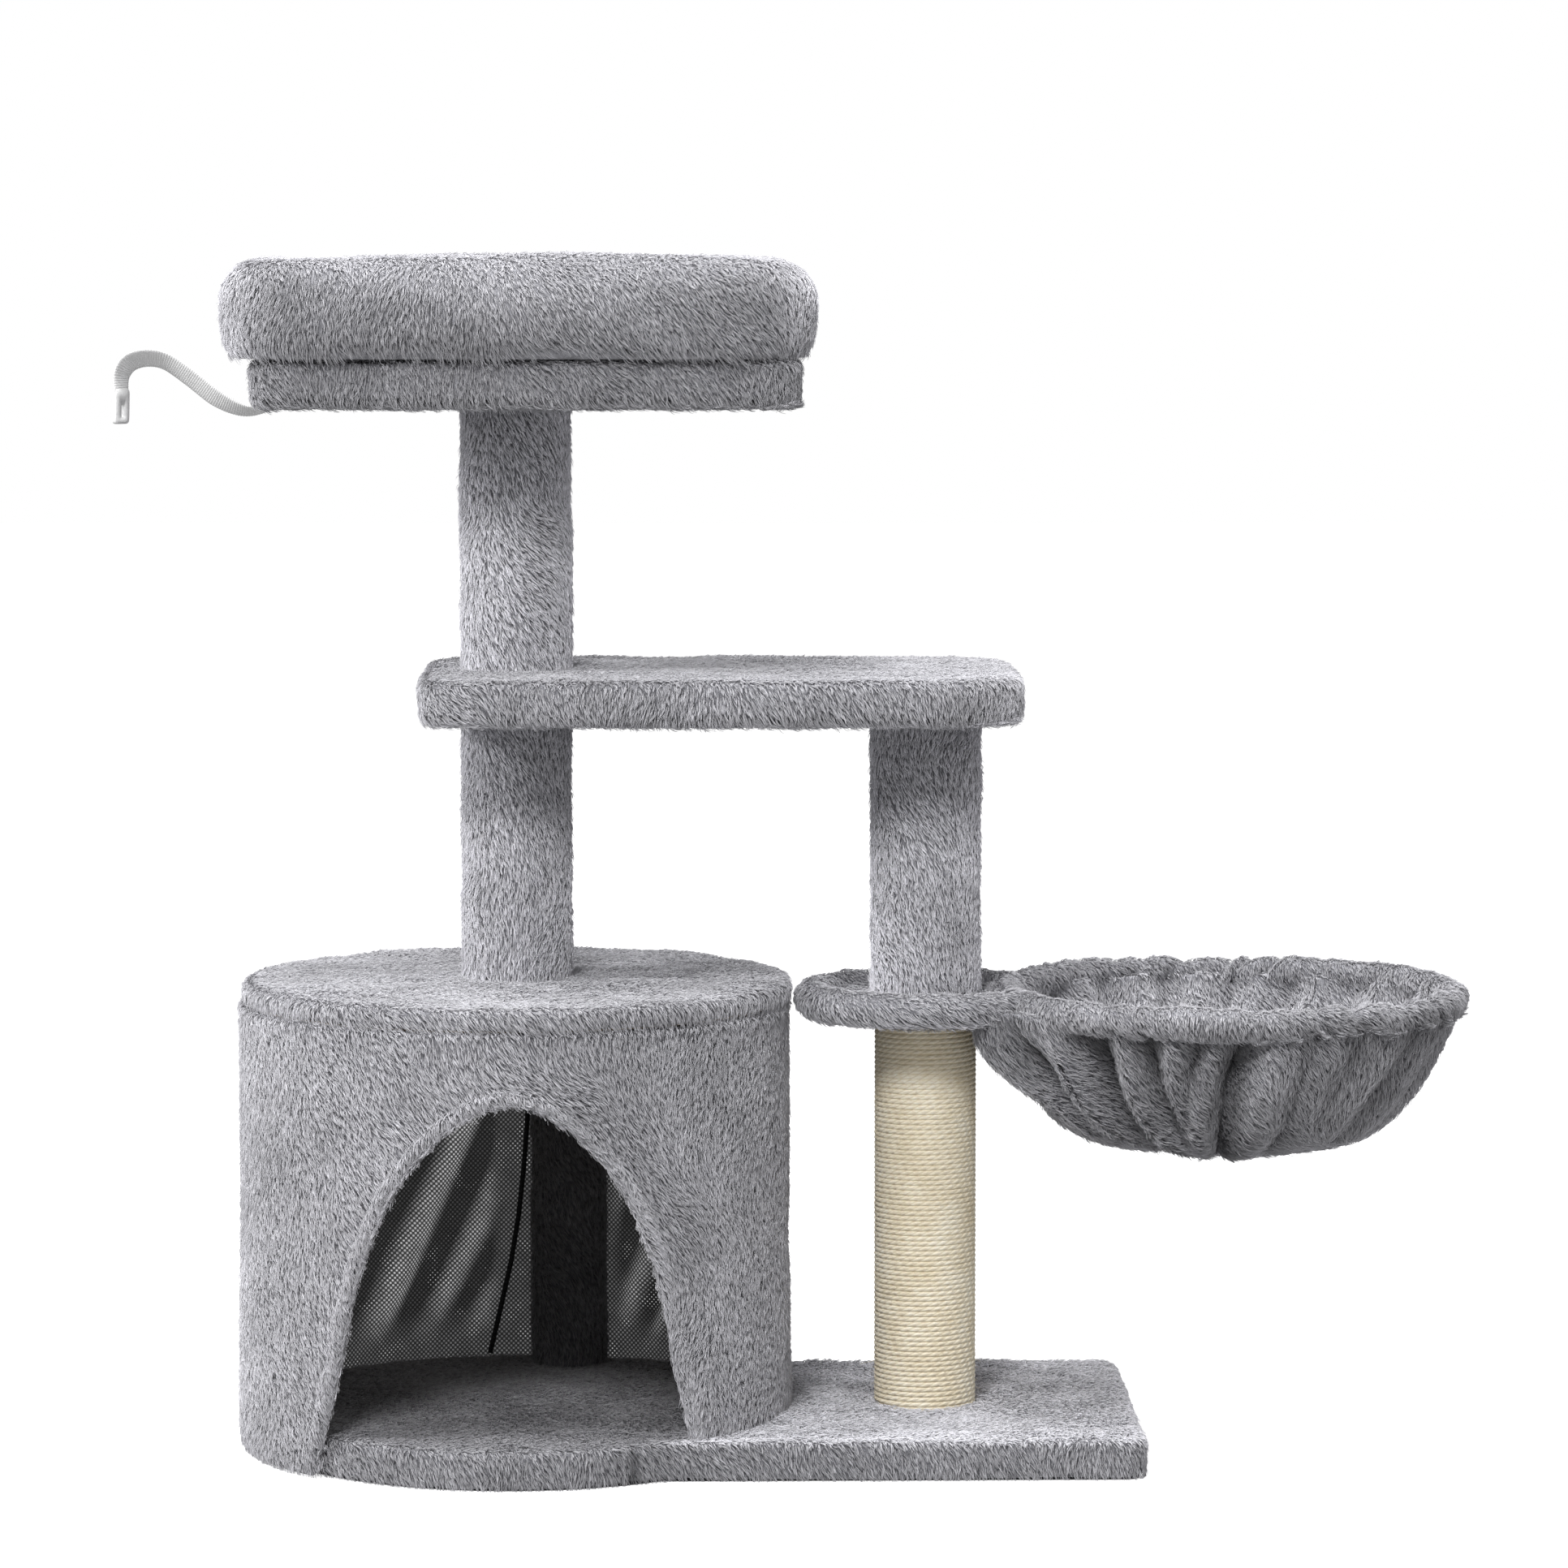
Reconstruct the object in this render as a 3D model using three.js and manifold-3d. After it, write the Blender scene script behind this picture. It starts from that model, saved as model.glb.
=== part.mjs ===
// A plush cat tree: a keyhole-shaped base, a round fabric condo with an arched door, two stacked
// post columns joined by a shelf, a hammock on a wire frame clamped between two posts, and a padded
// bed on top. Millimetres, +Z up, front towards -Y. The origin is the centre of the base's
// footprint, on the floor.
import * as THREE from "three";
import { mergeVertices } from "three/addons/utils/BufferGeometryUtils.js";
import Module from "manifold-3d";

const wasm = await Module();
wasm.setup();

// ---------------------------------------------------------------- driving dimensions
const GAP = 0.3; // clearance left between touching pieces
const BOARD = 16; // thickness of every chipboard panel
const PLUSH = 6; // backing and pile of the plush fabric, at half the pile's height
const HEM = 2.6; // the same fabric pressed flat where it is stapled under the base

// Levels, from the floor up
const LINER_TOP = 1.2;
const BASE_Z = 4.6;
const BASE_TOP = BASE_Z + BOARD;
const BASE_PLUSH_TOP = BASE_TOP + PLUSH;
const ROOF_Z = 294;
const ROOF_TOP = ROOF_Z + BOARD;
const FRAME_Z = 302;
const SHELF_Z = 502;
const SHELF_TOP = SHELF_Z + BOARD;
const PERCH_Z = 710;
const PERCH_TOP = PERCH_Z + BOARD;
const PERCH_PLUSH_TOP = PERCH_TOP + PLUSH;

// Plan positions
const CONDO = { x: -115.5, y: 0, boardRadius: 170, wallInner: 176.8, wallOuter: 183.5 };
const MAIN_POST = { x: CONDO.x, y: 0 };
const RIGHT_POST = { x: 159.5, y: 0 };
const BASE = { halfDepth: 141, xEnd: 293.5, corner: 8, hemWidth: 28 };

// Posts: cardboard tube, plush or rope round it, and a wooden plug in each end
const POST = { tubeInner: 26.5, tubeOuter: 29.7, plush: 36.3, rope: 34.4, segments: 20 };
const PLUG_LENGTH = 20;

// Wooden poles inside the condo, on a circle about its axis
const POLE = { radius: 19.5, plush: 25.8, circle: 149, pilotDepth: 20, segments: 20 };
const POLES = { left: 180, right: 0, back: 77.5 }; // degrees

// M8 fasteners
const THREAD_R = 4;
const HOLE_R = THREAD_R + GAP;
const HEAD = { radius: 9, height: 3.5, socket: 3, socketDepth: 2.2 };
const WASHER = { radius: 11, height: 1.5 };
const SINK = { radius: WASHER.radius + GAP, depth: WASHER.height + HEAD.height + 3 * GAP };
const BOLT_INTO_PLUG = 16;

const SHELF = { x: 21.5, width: 386, depth: 238, cornerLeft: 29, cornerRight: 54 };

// Top perch and its padded bed
const PERCH = { x: -106, width: 344, depth: 278, corner: 26 };
const BED = { x: -111.4, width: 391, depth: 312, height: 66, wall: 60, corner: 62, round: 27, floor: 20 };

// Condo wall and its door, an arch on the unrolled wall: [part of the half angle, part of the height]
const WALL_TOP = ROOF_Z + 6.5;
const DOOR = { halfAngle: THREE.MathUtils.degToRad(42.8), sill: BASE_PLUSH_TOP - 3, top: 259, hem: 4.6 };
const DOOR_EDGE = [[1, 0], [0.9, 0.22], [0.77, 0.52], [0.585, 0.75], [0.36, 0.905], [0.12, 0.993]];
const SKIRT = { from: 57, to: 226.6, bottom: 0.8 }; // degrees, the part that covers the base's edge

// Bound seam up the inside of the back wall: [degrees about the condo's axis, height]
const BINDING_RADIUS = 2;
const SEAM = [[88, ROOF_Z - 1], [89, 200], [92, 110], [98, BASE_PLUSH_TOP + 1]];

// Hammock: a wire ring and a smaller loop round the post, tied by a bar clamped between the posts
const RING = { offset: 204, radius: 151, wire: 3, sleeve: 11.5 };
const LOOP = { radius: 76, sleeve: 10, web: 3.4 };
const BAR = { width: 25, thickness: 2 };
// Outer outline of the fabric bowl: [radius, height above its lowest point]
const BOWL = [[34, 0], [70, 4], [98, 14], [123, 37], [139, 62], [147, 86]];
const BOWL_BOTTOM = 201;
const BOWL_CLOTH = 6;

// Anti-tip strap: its route in the plane y = STRAP.y, from the screw to the end tab
const STRAP = { y: 90, width: 20, thickness: 1.6, screwX: -256, tabLength: 24, tabThickness: 3.4 };
const STRAP_ROUTE = [
  [-246, 702.4], [-262, 702.2], [-277, 699], [-290, 694.5], [-304, 694.5], [-321, 702.5],
  [-339, 716.5], [-355, 727.5], [-368, 730], [-379.5, 727], [-385.5, 718.5], [-386, 707],
];

// ---------------------------------------------------------------- materials
const material = (color, roughness, metalness = 0) =>
  new THREE.MeshStandardMaterial({ color, roughness, metalness });
const plush = material(0x9c9ca3, 0.95);
const chipboard = material(0xc2a67c, 0.8);
const cardboard = material(0xa98a62, 0.9);
const wood = material(0xd0b183, 0.75);
const sisal = material(0xe3d3a9, 0.95);
const steel = material(0xb9bcc0, 0.35, 1);
const webbing = material(0xf1f1ef, 0.8);
const felt = material(0x2c2c2e, 0.95);
const binding = material(0x232325, 0.9);

// ---------------------------------------------------------------- solids
// A closed geometry as a manifold-3d solid.
function solid(geometry) {
  const bare = new THREE.BufferGeometry();
  bare.setAttribute("position", geometry.getAttribute("position"));
  if (geometry.index) bare.setIndex(geometry.index);
  const merged = mergeVertices(bare, 1e-4);
  return new wasm.Manifold(
    new wasm.Mesh({
      numProp: 3,
      vertProperties: merged.attributes.position.array,
      triVerts: new Uint32Array(merged.index.array),
    }),
  );
}

// A manifold-3d solid as a geometry.
function geometryOf(manifold) {
  const mesh = manifold.getMesh();
  const geometry = new THREE.BufferGeometry();
  geometry.setAttribute("position", new THREE.BufferAttribute(mesh.vertProperties, 3));
  geometry.setIndex(new THREE.BufferAttribute(mesh.triVerts, 1));
  geometry.computeVertexNormals();
  return geometry;
}

const cut = (geometry, ...tools) =>
  geometryOf(tools.reduce((left, tool) => left.subtract(solid(tool)), solid(geometry)));
const join = (geometry, ...others) =>
  geometryOf(others.reduce((left, other) => left.add(solid(other)), solid(geometry)));

// A plan outline extruded from height z0 to z1.
function slab(shape, z0, z1) {
  const options = { depth: z1 - z0, bevelEnabled: false };
  return new THREE.ExtrudeGeometry(shape, options).translate(0, 0, z0);
}

// A closed (radius, height) profile turned round the Z axis.
function turned(profile, segments) {
  const points = [...profile, profile[0]].map(([r, z]) => new THREE.Vector2(r, z));
  return new THREE.LatheGeometry(points, segments).rotateX(Math.PI / 2);
}

const cylinder = (radius, z0, z1, segments = 24) =>
  new THREE.CylinderGeometry(radius, radius, z1 - z0, segments)
    .rotateX(Math.PI / 2)
    .translate(0, 0, (z0 + z1) / 2);

const pipe = (inner, outer, z0, z1, segments) =>
  turned([[inner, z0], [outer, z0], [outer, z1], [inner, z1]], segments);

// A round or rectangular section swept along a curve.
function swept(section, path, steps) {
  return new THREE.ExtrudeGeometry(section, { steps, extrudePath: path, curveSegments: 2 });
}

function circleSection(radius, sides = 8) {
  const corners = Array.from({ length: sides }, (_, i) => {
    const angle = (2 * Math.PI * i) / sides;
    return new THREE.Vector2(radius * Math.cos(angle), radius * Math.sin(angle));
  });
  return new THREE.Shape(corners);
}

// ---------------------------------------------------------------- plan outlines
// Points along an arc, both ends included.
function arc(x, y, radius, from, to, steps) {
  return Array.from({ length: steps + 1 }, (_, i) => {
    const angle = THREE.MathUtils.lerp(from, to, i / steps);
    return new THREE.Vector2(x + radius * Math.cos(angle), y + radius * Math.sin(angle));
  });
}

// A rectangle centred on the origin, with one corner radius at its -X end and one at its +X end.
function roundedRectangle(width, depth, left, right = left) {
  const [w, d] = [width / 2, depth / 2];
  const quarter = Math.PI / 2;
  const steps = (radius) => (radius > 20 ? 6 : 3);
  return new THREE.Shape([
    ...arc(w - right, -d + right, right, -quarter, 0, steps(right)),
    ...arc(w - right, d - right, right, 0, quarter, steps(right)),
    ...arc(-w + left, d - left, left, quarter, 2 * quarter, steps(left)),
    ...arc(-w + left, -d + left, left, 2 * quarter, 3 * quarter, steps(left)),
  ]);
}

// The base: the condo's circle and a rectangle that runs from it to the right, grown by `grow`.
function keyhole(grow) {
  const radius = CONDO.boardRadius + grow;
  const half = BASE.halfDepth + grow;
  const xEnd = BASE.xEnd + grow;
  const corner = Math.max(BASE.corner + grow, 1);
  const meets = Math.asin(half / radius);
  return new THREE.Shape([
    ...arc(CONDO.x, CONDO.y, radius, meets, 2 * Math.PI - meets, 30),
    ...arc(xEnd - corner, -half + corner, corner, -Math.PI / 2, 0, 3),
    ...arc(xEnd - corner, half - corner, corner, 0, Math.PI / 2, 3),
  ]);
}

// ---------------------------------------------------------------- the scene graph
const tree = new THREE.Group();

function place(parent, name, geometry, finish, x = 0, y = 0, z = 0) {
  const mesh = new THREE.Mesh(geometry, finish);
  mesh.name = name;
  mesh.position.set(x, y, z);
  parent.add(mesh);
  return mesh;
}

// ---------------------------------------------------------------- fasteners
// A bolt with its head below z = 0 and its shank up to z = length. Turned over, it points down.
function boltGeometry(length) {
  const profile = [
    [0, -HEAD.height], [HEAD.radius - 1, -HEAD.height], [HEAD.radius, -HEAD.height + 1],
    [HEAD.radius, 0], [THREAD_R, 0], [THREAD_R, length], [0, length],
  ];
  const points = profile.map(([r, z]) => new THREE.Vector2(r, z));
  const body = new THREE.LatheGeometry(points, 12).rotateX(Math.PI / 2);
  const socket = cylinder(HEAD.socket, -HEAD.height - 1, -HEAD.height + HEAD.socketDepth, 6);
  return cut(body, socket);
}

// A group at a bolt's seat, turned so that its +Z is the way the shank points (up: 1 or -1).
function seat(at, z, up) {
  const group = new THREE.Group();
  group.position.set(at.x, at.y, z);
  if (up < 0) group.rotation.x = Math.PI;
  tree.add(group);
  return group;
}

const BOLT_LENGTH = BOARD - SINK.depth + BOLT_INTO_PLUG;

function bolt(name, at, z, up) {
  place(seat(at, z, up), name, boltGeometry(BOLT_LENGTH), steel, 0, 0, -GAP);
}

function boltAndWasher(name, at, z, up) {
  const group = seat(at, z, up);
  const washer = pipe(HOLE_R, WASHER.radius, -WASHER.height - GAP, -GAP, 12);
  const under = -WASHER.height - 2 * GAP;
  place(group, `${name}_washer`, washer, steel);
  place(group, `${name}_bolt`, boltGeometry(BOLT_LENGTH), steel, 0, 0, under);
}

// The clearance hole of a bolt, with a sink for its head on one face of a board.
function boltHole(at, boardZ, headBelow) {
  const shank = cylinder(HOLE_R, boardZ - 5, boardZ + BOARD + 5, 12);
  const sink = headBelow
    ? cylinder(SINK.radius, boardZ - 5, boardZ + SINK.depth, 12)
    : cylinder(SINK.radius, boardZ + BOARD - SINK.depth, boardZ + BOARD + 5, 12);
  return join(shank, sink).translate(at.x, at.y, 0);
}

const seatZ = (boardZ, headBelow) =>
  headBelow ? boardZ + SINK.depth : boardZ + BOARD - SINK.depth;

// ---------------------------------------------------------------- posts
function post(name, at, z0, z1, skin) {
  const [low, high] = [z0 + GAP, z1 - GAP];
  const tube = pipe(POST.tubeInner, POST.tubeOuter, low, high, POST.segments);
  place(tree, `${name}_tube`, tube, cardboard, at.x, at.y);
  const plug = (bottom) => pipe(HOLE_R, POST.tubeInner - GAP, bottom, bottom + PLUG_LENGTH, 12);
  place(tree, `${name}_bottom_plug`, plug(low), wood, at.x, at.y);
  place(tree, `${name}_top_plug`, plug(high - PLUG_LENGTH), wood, at.x, at.y);
  const cover = pipe(POST.tubeOuter + GAP, skin.radius, low, high, POST.segments);
  place(tree, `${name}_${skin.name}`, cover, skin.finish, at.x, at.y);
}

const ropeSkin = { name: "rope", radius: POST.rope, finish: sisal };
const plushSkin = { name: "plush_sleeve", radius: POST.plush, finish: plush };
const CLAMP_LOW = FRAME_Z - BAR.thickness / 2;
const CLAMP_HIGH = FRAME_Z + BAR.thickness / 2;

post("sisal_post", RIGHT_POST, BASE_TOP, CLAMP_LOW, ropeSkin);
post("right_post", RIGHT_POST, CLAMP_HIGH, SHELF_Z, plushSkin);
post("main_post_lower", MAIN_POST, ROOF_TOP, SHELF_Z, plushSkin);
post("main_post_upper", MAIN_POST, SHELF_TOP, PERCH_Z, plushSkin);

const poleAt = (side) => {
  const angle = THREE.MathUtils.degToRad(POLES[side]);
  return {
    x: CONDO.x + POLE.circle * Math.cos(angle),
    y: CONDO.y + POLE.circle * Math.sin(angle),
  };
};

function pole(side) {
  const at = poleAt(side);
  const [low, high] = [BASE_TOP + GAP, ROOF_Z - GAP];
  const bar = cut(
    cylinder(POLE.radius, low, high, POLE.segments),
    cylinder(HOLE_R, low - 1, low + POLE.pilotDepth, 12),
    cylinder(HOLE_R, high - POLE.pilotDepth, high + 1, 12),
  );
  place(tree, `inner_pole_${side}`, bar, wood, at.x, at.y);
  const cover = pipe(POLE.radius + GAP, POLE.plush, low, high, POLE.segments);
  place(tree, `inner_pole_${side}_plush`, cover, plush, at.x, at.y);
}
const SIDES = Object.keys(POLES);
SIDES.forEach(pole);

// Threaded rods that join the posts end to end
const STUD_REACH = 17;
function stud(name, at, z0, z1) {
  const rod = cylinder(THREAD_R, z0 - STUD_REACH, z1 + STUD_REACH, 12);
  place(tree, name, rod, steel, at.x, at.y);
}
stud("hammock_stud", RIGHT_POST, CLAMP_LOW, CLAMP_HIGH);
stud("shelf_stud", MAIN_POST, SHELF_Z, SHELF_TOP);

// ---------------------------------------------------------------- base
function postHole(at, radius, z0, z1) {
  return cylinder(radius + 2 * GAP, z0, z1, POST.segments).translate(at.x, at.y, 0);
}

function base() {
  const board = cut(
    slab(keyhole(0), BASE_Z, BASE_TOP),
    boltHole(RIGHT_POST, BASE_Z, true),
    ...SIDES.map((side) => boltHole(poleAt(side), BASE_Z, true)),
  );
  place(tree, "base_board", board, chipboard);

  const underside = LINER_TOP + GAP;
  const cover = cut(
    slab(keyhole(PLUSH), underside, BASE_PLUSH_TOP),
    slab(keyhole(GAP), underside + HEM, BASE_TOP + GAP),
    slab(keyhole(-BASE.hemWidth), 0, BASE_Z + 1),
    postHole(RIGHT_POST, POST.rope, BASE_TOP, BASE_PLUSH_TOP + 1),
    ...SIDES.map((side) => postHole(poleAt(side), POLE.plush, BASE_TOP, BASE_PLUSH_TOP + 1)),
  );
  place(tree, "base_plush_cover", cover, plush);

  const accessHole = (at) => cylinder(SINK.radius, -1, LINER_TOP + 1, 12).translate(at.x, at.y, 0);
  const liner = cut(
    slab(keyhole(PLUSH - 4), 0, LINER_TOP),
    accessHole(RIGHT_POST),
    ...SIDES.map((side) => accessHole(poleAt(side))),
  );
  place(tree, "base_felt_liner", liner, felt);
}
base();
boltAndWasher("base_to_sisal_post", RIGHT_POST, seatZ(BASE_Z, true), 1);
SIDES.forEach((side) => bolt(`base_to_pole_${side}_bolt`, poleAt(side), seatZ(BASE_Z, true), 1));

// ---------------------------------------------------------------- condo
// The door's edge on a wall of the given radius, from its left foot over to its right foot.
function doorCurve(radius) {
  const at = ([part, rise], side) => {
    const angle = side * part * DOOR.halfAngle;
    return new THREE.Vector3(
      CONDO.x + radius * Math.sin(angle),
      CONDO.y - radius * Math.cos(angle),
      THREE.MathUtils.lerp(DOOR.sill, DOOR.top, rise),
    );
  };
  const left = DOOR_EDGE.map((corner) => at(corner, -1));
  const right = DOOR_EDGE.map((corner) => at(corner, 1)).reverse();
  return new THREE.CatmullRomCurve3([...left, ...right]);
}

function condoWall() {
  const wall = pipe(CONDO.wallInner, CONDO.wallOuter, BASE_PLUSH_TOP + GAP, WALL_TOP, 48);
  const [from, to] = [SKIRT.from, SKIRT.to].map(THREE.MathUtils.degToRad);
  const skirtShape = new THREE.Shape([
    ...arc(0, 0, CONDO.wallOuter, from, to, 24),
    ...arc(0, 0, CONDO.wallInner, to, from, 24),
  ]);
  const skirt = slab(skirtShape, SKIRT.bottom, BASE_PLUSH_TOP + 2);
  const shell = join(wall, skirt).translate(CONDO.x, CONDO.y, 0);

  const wallMiddle = (CONDO.wallInner + CONDO.wallOuter) / 2;
  const hemPath = doorCurve(wallMiddle);
  const outline = hemPath.getPoints(24).map((p) => new THREE.Vector2(p.x, p.z));
  // Extruded along +Z, then turned so that it runs through the front wall only
  const door = new THREE.ExtrudeGeometry(new THREE.Shape(outline), { depth: 140, bevelEnabled: false })
    .rotateX(Math.PI / 2)
    .translate(0, -60, 0);
  const hem = swept(circleSection(DOOR.hem, 6), hemPath, 24);
  const hemRoom = swept(circleSection(DOOR.hem + GAP, 6), hemPath, 24);
  const belowFloor = new THREE.BoxGeometry(400, 400, 100);
  belowFloor.translate(CONDO.x, 0, BASE_PLUSH_TOP + GAP - 50);
  place(tree, "condo_wall", cut(shell, door, hemRoom), plush);
  place(tree, "condo_door_hem", cut(hem, belowFloor), plush);

  const seamLine = SEAM.map(([degrees, z]) => {
    const angle = THREE.MathUtils.degToRad(degrees);
    const radius = CONDO.wallInner - BINDING_RADIUS - 2 * GAP;
    return new THREE.Vector3(
      CONDO.x + radius * Math.cos(angle),
      CONDO.y + radius * Math.sin(angle),
      z,
    );
  });
  const seam = swept(circleSection(BINDING_RADIUS, 6), new THREE.CatmullRomCurve3(seamLine), 8);
  place(tree, "condo_seam_binding", seam, binding);
}

function roof() {
  const board = cut(
    cylinder(CONDO.wallInner - GAP, ROOF_Z, ROOF_TOP, 48).translate(CONDO.x, CONDO.y, 0),
    boltHole(MAIN_POST, ROOF_Z, true),
    ...SIDES.map((side) => boltHole(poleAt(side), ROOF_Z, false)),
  );
  place(tree, "roof_board", board, chipboard);
  const cover = cut(
    cylinder(CONDO.wallOuter, WALL_TOP + GAP, ROOF_TOP + PLUSH, 48).translate(CONDO.x, CONDO.y, 0),
    cylinder(CONDO.wallInner, ROOF_Z, ROOF_TOP + GAP, 48).translate(CONDO.x, CONDO.y, 0),
    postHole(MAIN_POST, POST.plush, ROOF_TOP - 2, ROOF_TOP + PLUSH + 1),
  );
  place(tree, "roof_plush_cover", cover, plush);
}
condoWall();
roof();
boltAndWasher("roof_to_main_post", MAIN_POST, seatZ(ROOF_Z, true), 1);
SIDES.forEach((side) => bolt(`roof_to_pole_${side}_bolt`, poleAt(side), seatZ(ROOF_Z, false), -1));

// ---------------------------------------------------------------- shelf
function shelf() {
  const outline = (grow) =>
    roundedRectangle(
      SHELF.width + 2 * grow,
      SHELF.depth + 2 * grow,
      SHELF.cornerLeft + grow,
      SHELF.cornerRight + grow,
    );
  const at = (geometry) => geometry.translate(SHELF.x, 0, 0);
  const board = cut(
    at(slab(outline(0), SHELF_Z, SHELF_TOP)),
    cylinder(HOLE_R, SHELF_Z - 1, SHELF_TOP + 1, 12).translate(MAIN_POST.x, MAIN_POST.y, 0),
    boltHole(RIGHT_POST, SHELF_Z, false),
  );
  place(tree, "shelf_board", board, chipboard);
  const [low, high] = [SHELF_Z - PLUSH, SHELF_TOP + PLUSH];
  const cover = cut(
    at(slab(outline(PLUSH), low, high)),
    at(slab(outline(GAP), SHELF_Z - GAP, SHELF_TOP + GAP)),
    postHole(MAIN_POST, POST.plush, low - 1, high + 1),
    postHole(RIGHT_POST, POST.plush, low - 1, SHELF_Z),
    postHole(RIGHT_POST, SINK.radius, SHELF_TOP - 1, high + 1),
  );
  place(tree, "shelf_plush_cover", cover, plush);
}
shelf();
boltAndWasher("shelf_to_right_post", RIGHT_POST, seatZ(SHELF_Z, false), -1);

// ---------------------------------------------------------------- perch, its bed and the strap
const strapHole = cylinder(2.3, 690, PERCH_TOP - 1, 12).translate(STRAP.screwX, STRAP.y, 0);

function perch() {
  const outline = (grow) =>
    roundedRectangle(PERCH.width + 2 * grow, PERCH.depth + 2 * grow, PERCH.corner + grow);
  const at = (geometry) => geometry.translate(PERCH.x, 0, 0);
  const board = cut(
    at(slab(outline(0), PERCH_Z, PERCH_TOP)),
    boltHole(MAIN_POST, PERCH_Z, false),
    strapHole,
  );
  place(tree, "perch_board", board, chipboard);
  const low = PERCH_Z - PLUSH;
  const cover = cut(
    at(slab(outline(PLUSH), low, PERCH_PLUSH_TOP)),
    at(slab(outline(GAP), PERCH_Z - GAP, PERCH_TOP + GAP)),
    postHole(MAIN_POST, POST.plush, low - 1, PERCH_Z),
    postHole(MAIN_POST, SINK.radius, PERCH_TOP - 1, PERCH_PLUSH_TOP + 1),
    strapHole,
  );
  place(tree, "perch_plush_cover", cover, plush);
}

function bed() {
  const z0 = PERCH_PLUSH_TOP + GAP;
  const inset = BED.round;
  const ring = roundedRectangle(
    BED.width - 2 * inset,
    BED.depth - 2 * inset,
    BED.corner - inset,
  );
  const opening = [BED.width, BED.depth].map((side) => side - 2 * (BED.wall - inset));
  ring.holes.push(roundedRectangle(opening[0], opening[1], BED.corner - BED.wall + inset));
  const bolster = new THREE.ExtrudeGeometry(ring, {
    depth: BED.height - 2 * inset,
    bevelThickness: inset,
    bevelSize: inset,
    bevelSegments: 3,
  });
  place(tree, "bed_bolster", bolster, plush, BED.x, 0, z0 + inset);

  const inner = [BED.width, BED.depth].map((side) => side - 2 * BED.wall - 2 * GAP);
  const pad = slab(roundedRectangle(inner[0], inner[1], 8), 0, BED.floor);
  place(tree, "bed_cushion", pad, plush, BED.x, 0, z0);
}

function strap() {
  const bend = STRAP_ROUTE.map(([x, z]) => new THREE.Vector3(x, STRAP.y, z));
  const [w, t] = [STRAP.width / 2, STRAP.thickness / 2];
  const corners = [[-w, -t], [w, -t], [w, t], [-w, t]].map(([a, b]) => new THREE.Vector2(a, b));
  const tape = swept(new THREE.Shape(corners), new THREE.CatmullRomCurve3(bend), 30);
  const [endX, endZ] = STRAP_ROUTE.at(-1);
  const tab = new THREE.BoxGeometry(STRAP.tabThickness, STRAP.width, STRAP.tabLength);
  tab.translate(endX, STRAP.y, endZ + 2 - STRAP.tabLength / 2);
  const slot = new THREE.BoxGeometry(10, 4.5, 9).translate(endX, STRAP.y, endZ - 15);
  place(tree, "anti_tip_strap", cut(join(tape, tab), strapHole, slot), webbing);

  const profile = [[0, 0], [4.2, 0.6], [4.2, 2], [2, 2], [2, 15], [0, 18]];
  const points = profile.map(([r, z]) => new THREE.Vector2(r, z));
  const screw = new THREE.LatheGeometry(points, 12).rotateX(Math.PI / 2);
  const headZ = STRAP_ROUTE[0][1] - STRAP.thickness / 2 - GAP - 2.1;
  place(tree, "strap_screw", screw, steel, STRAP.screwX, STRAP.y, headZ);
}
perch();
boltAndWasher("perch_to_main_post", MAIN_POST, seatZ(PERCH_Z, false), -1);
bed();
strap();

// ---------------------------------------------------------------- hammock
// The loop's centre line, from the ring, round the far side of the post and back to the ring.
function loopPath() {
  const reach = (RING.offset ** 2 + LOOP.radius ** 2 - RING.radius ** 2) / (2 * RING.offset);
  const first = Math.acos(reach / LOOP.radius);
  const points = Array.from({ length: 17 }, (_, i) => {
    const angle = THREE.MathUtils.lerp(first, 2 * Math.PI - first, i / 16);
    return new THREE.Vector3(LOOP.radius * Math.cos(angle), LOOP.radius * Math.sin(angle), 0);
  });
  return new THREE.CatmullRomCurve3(points);
}

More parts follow.
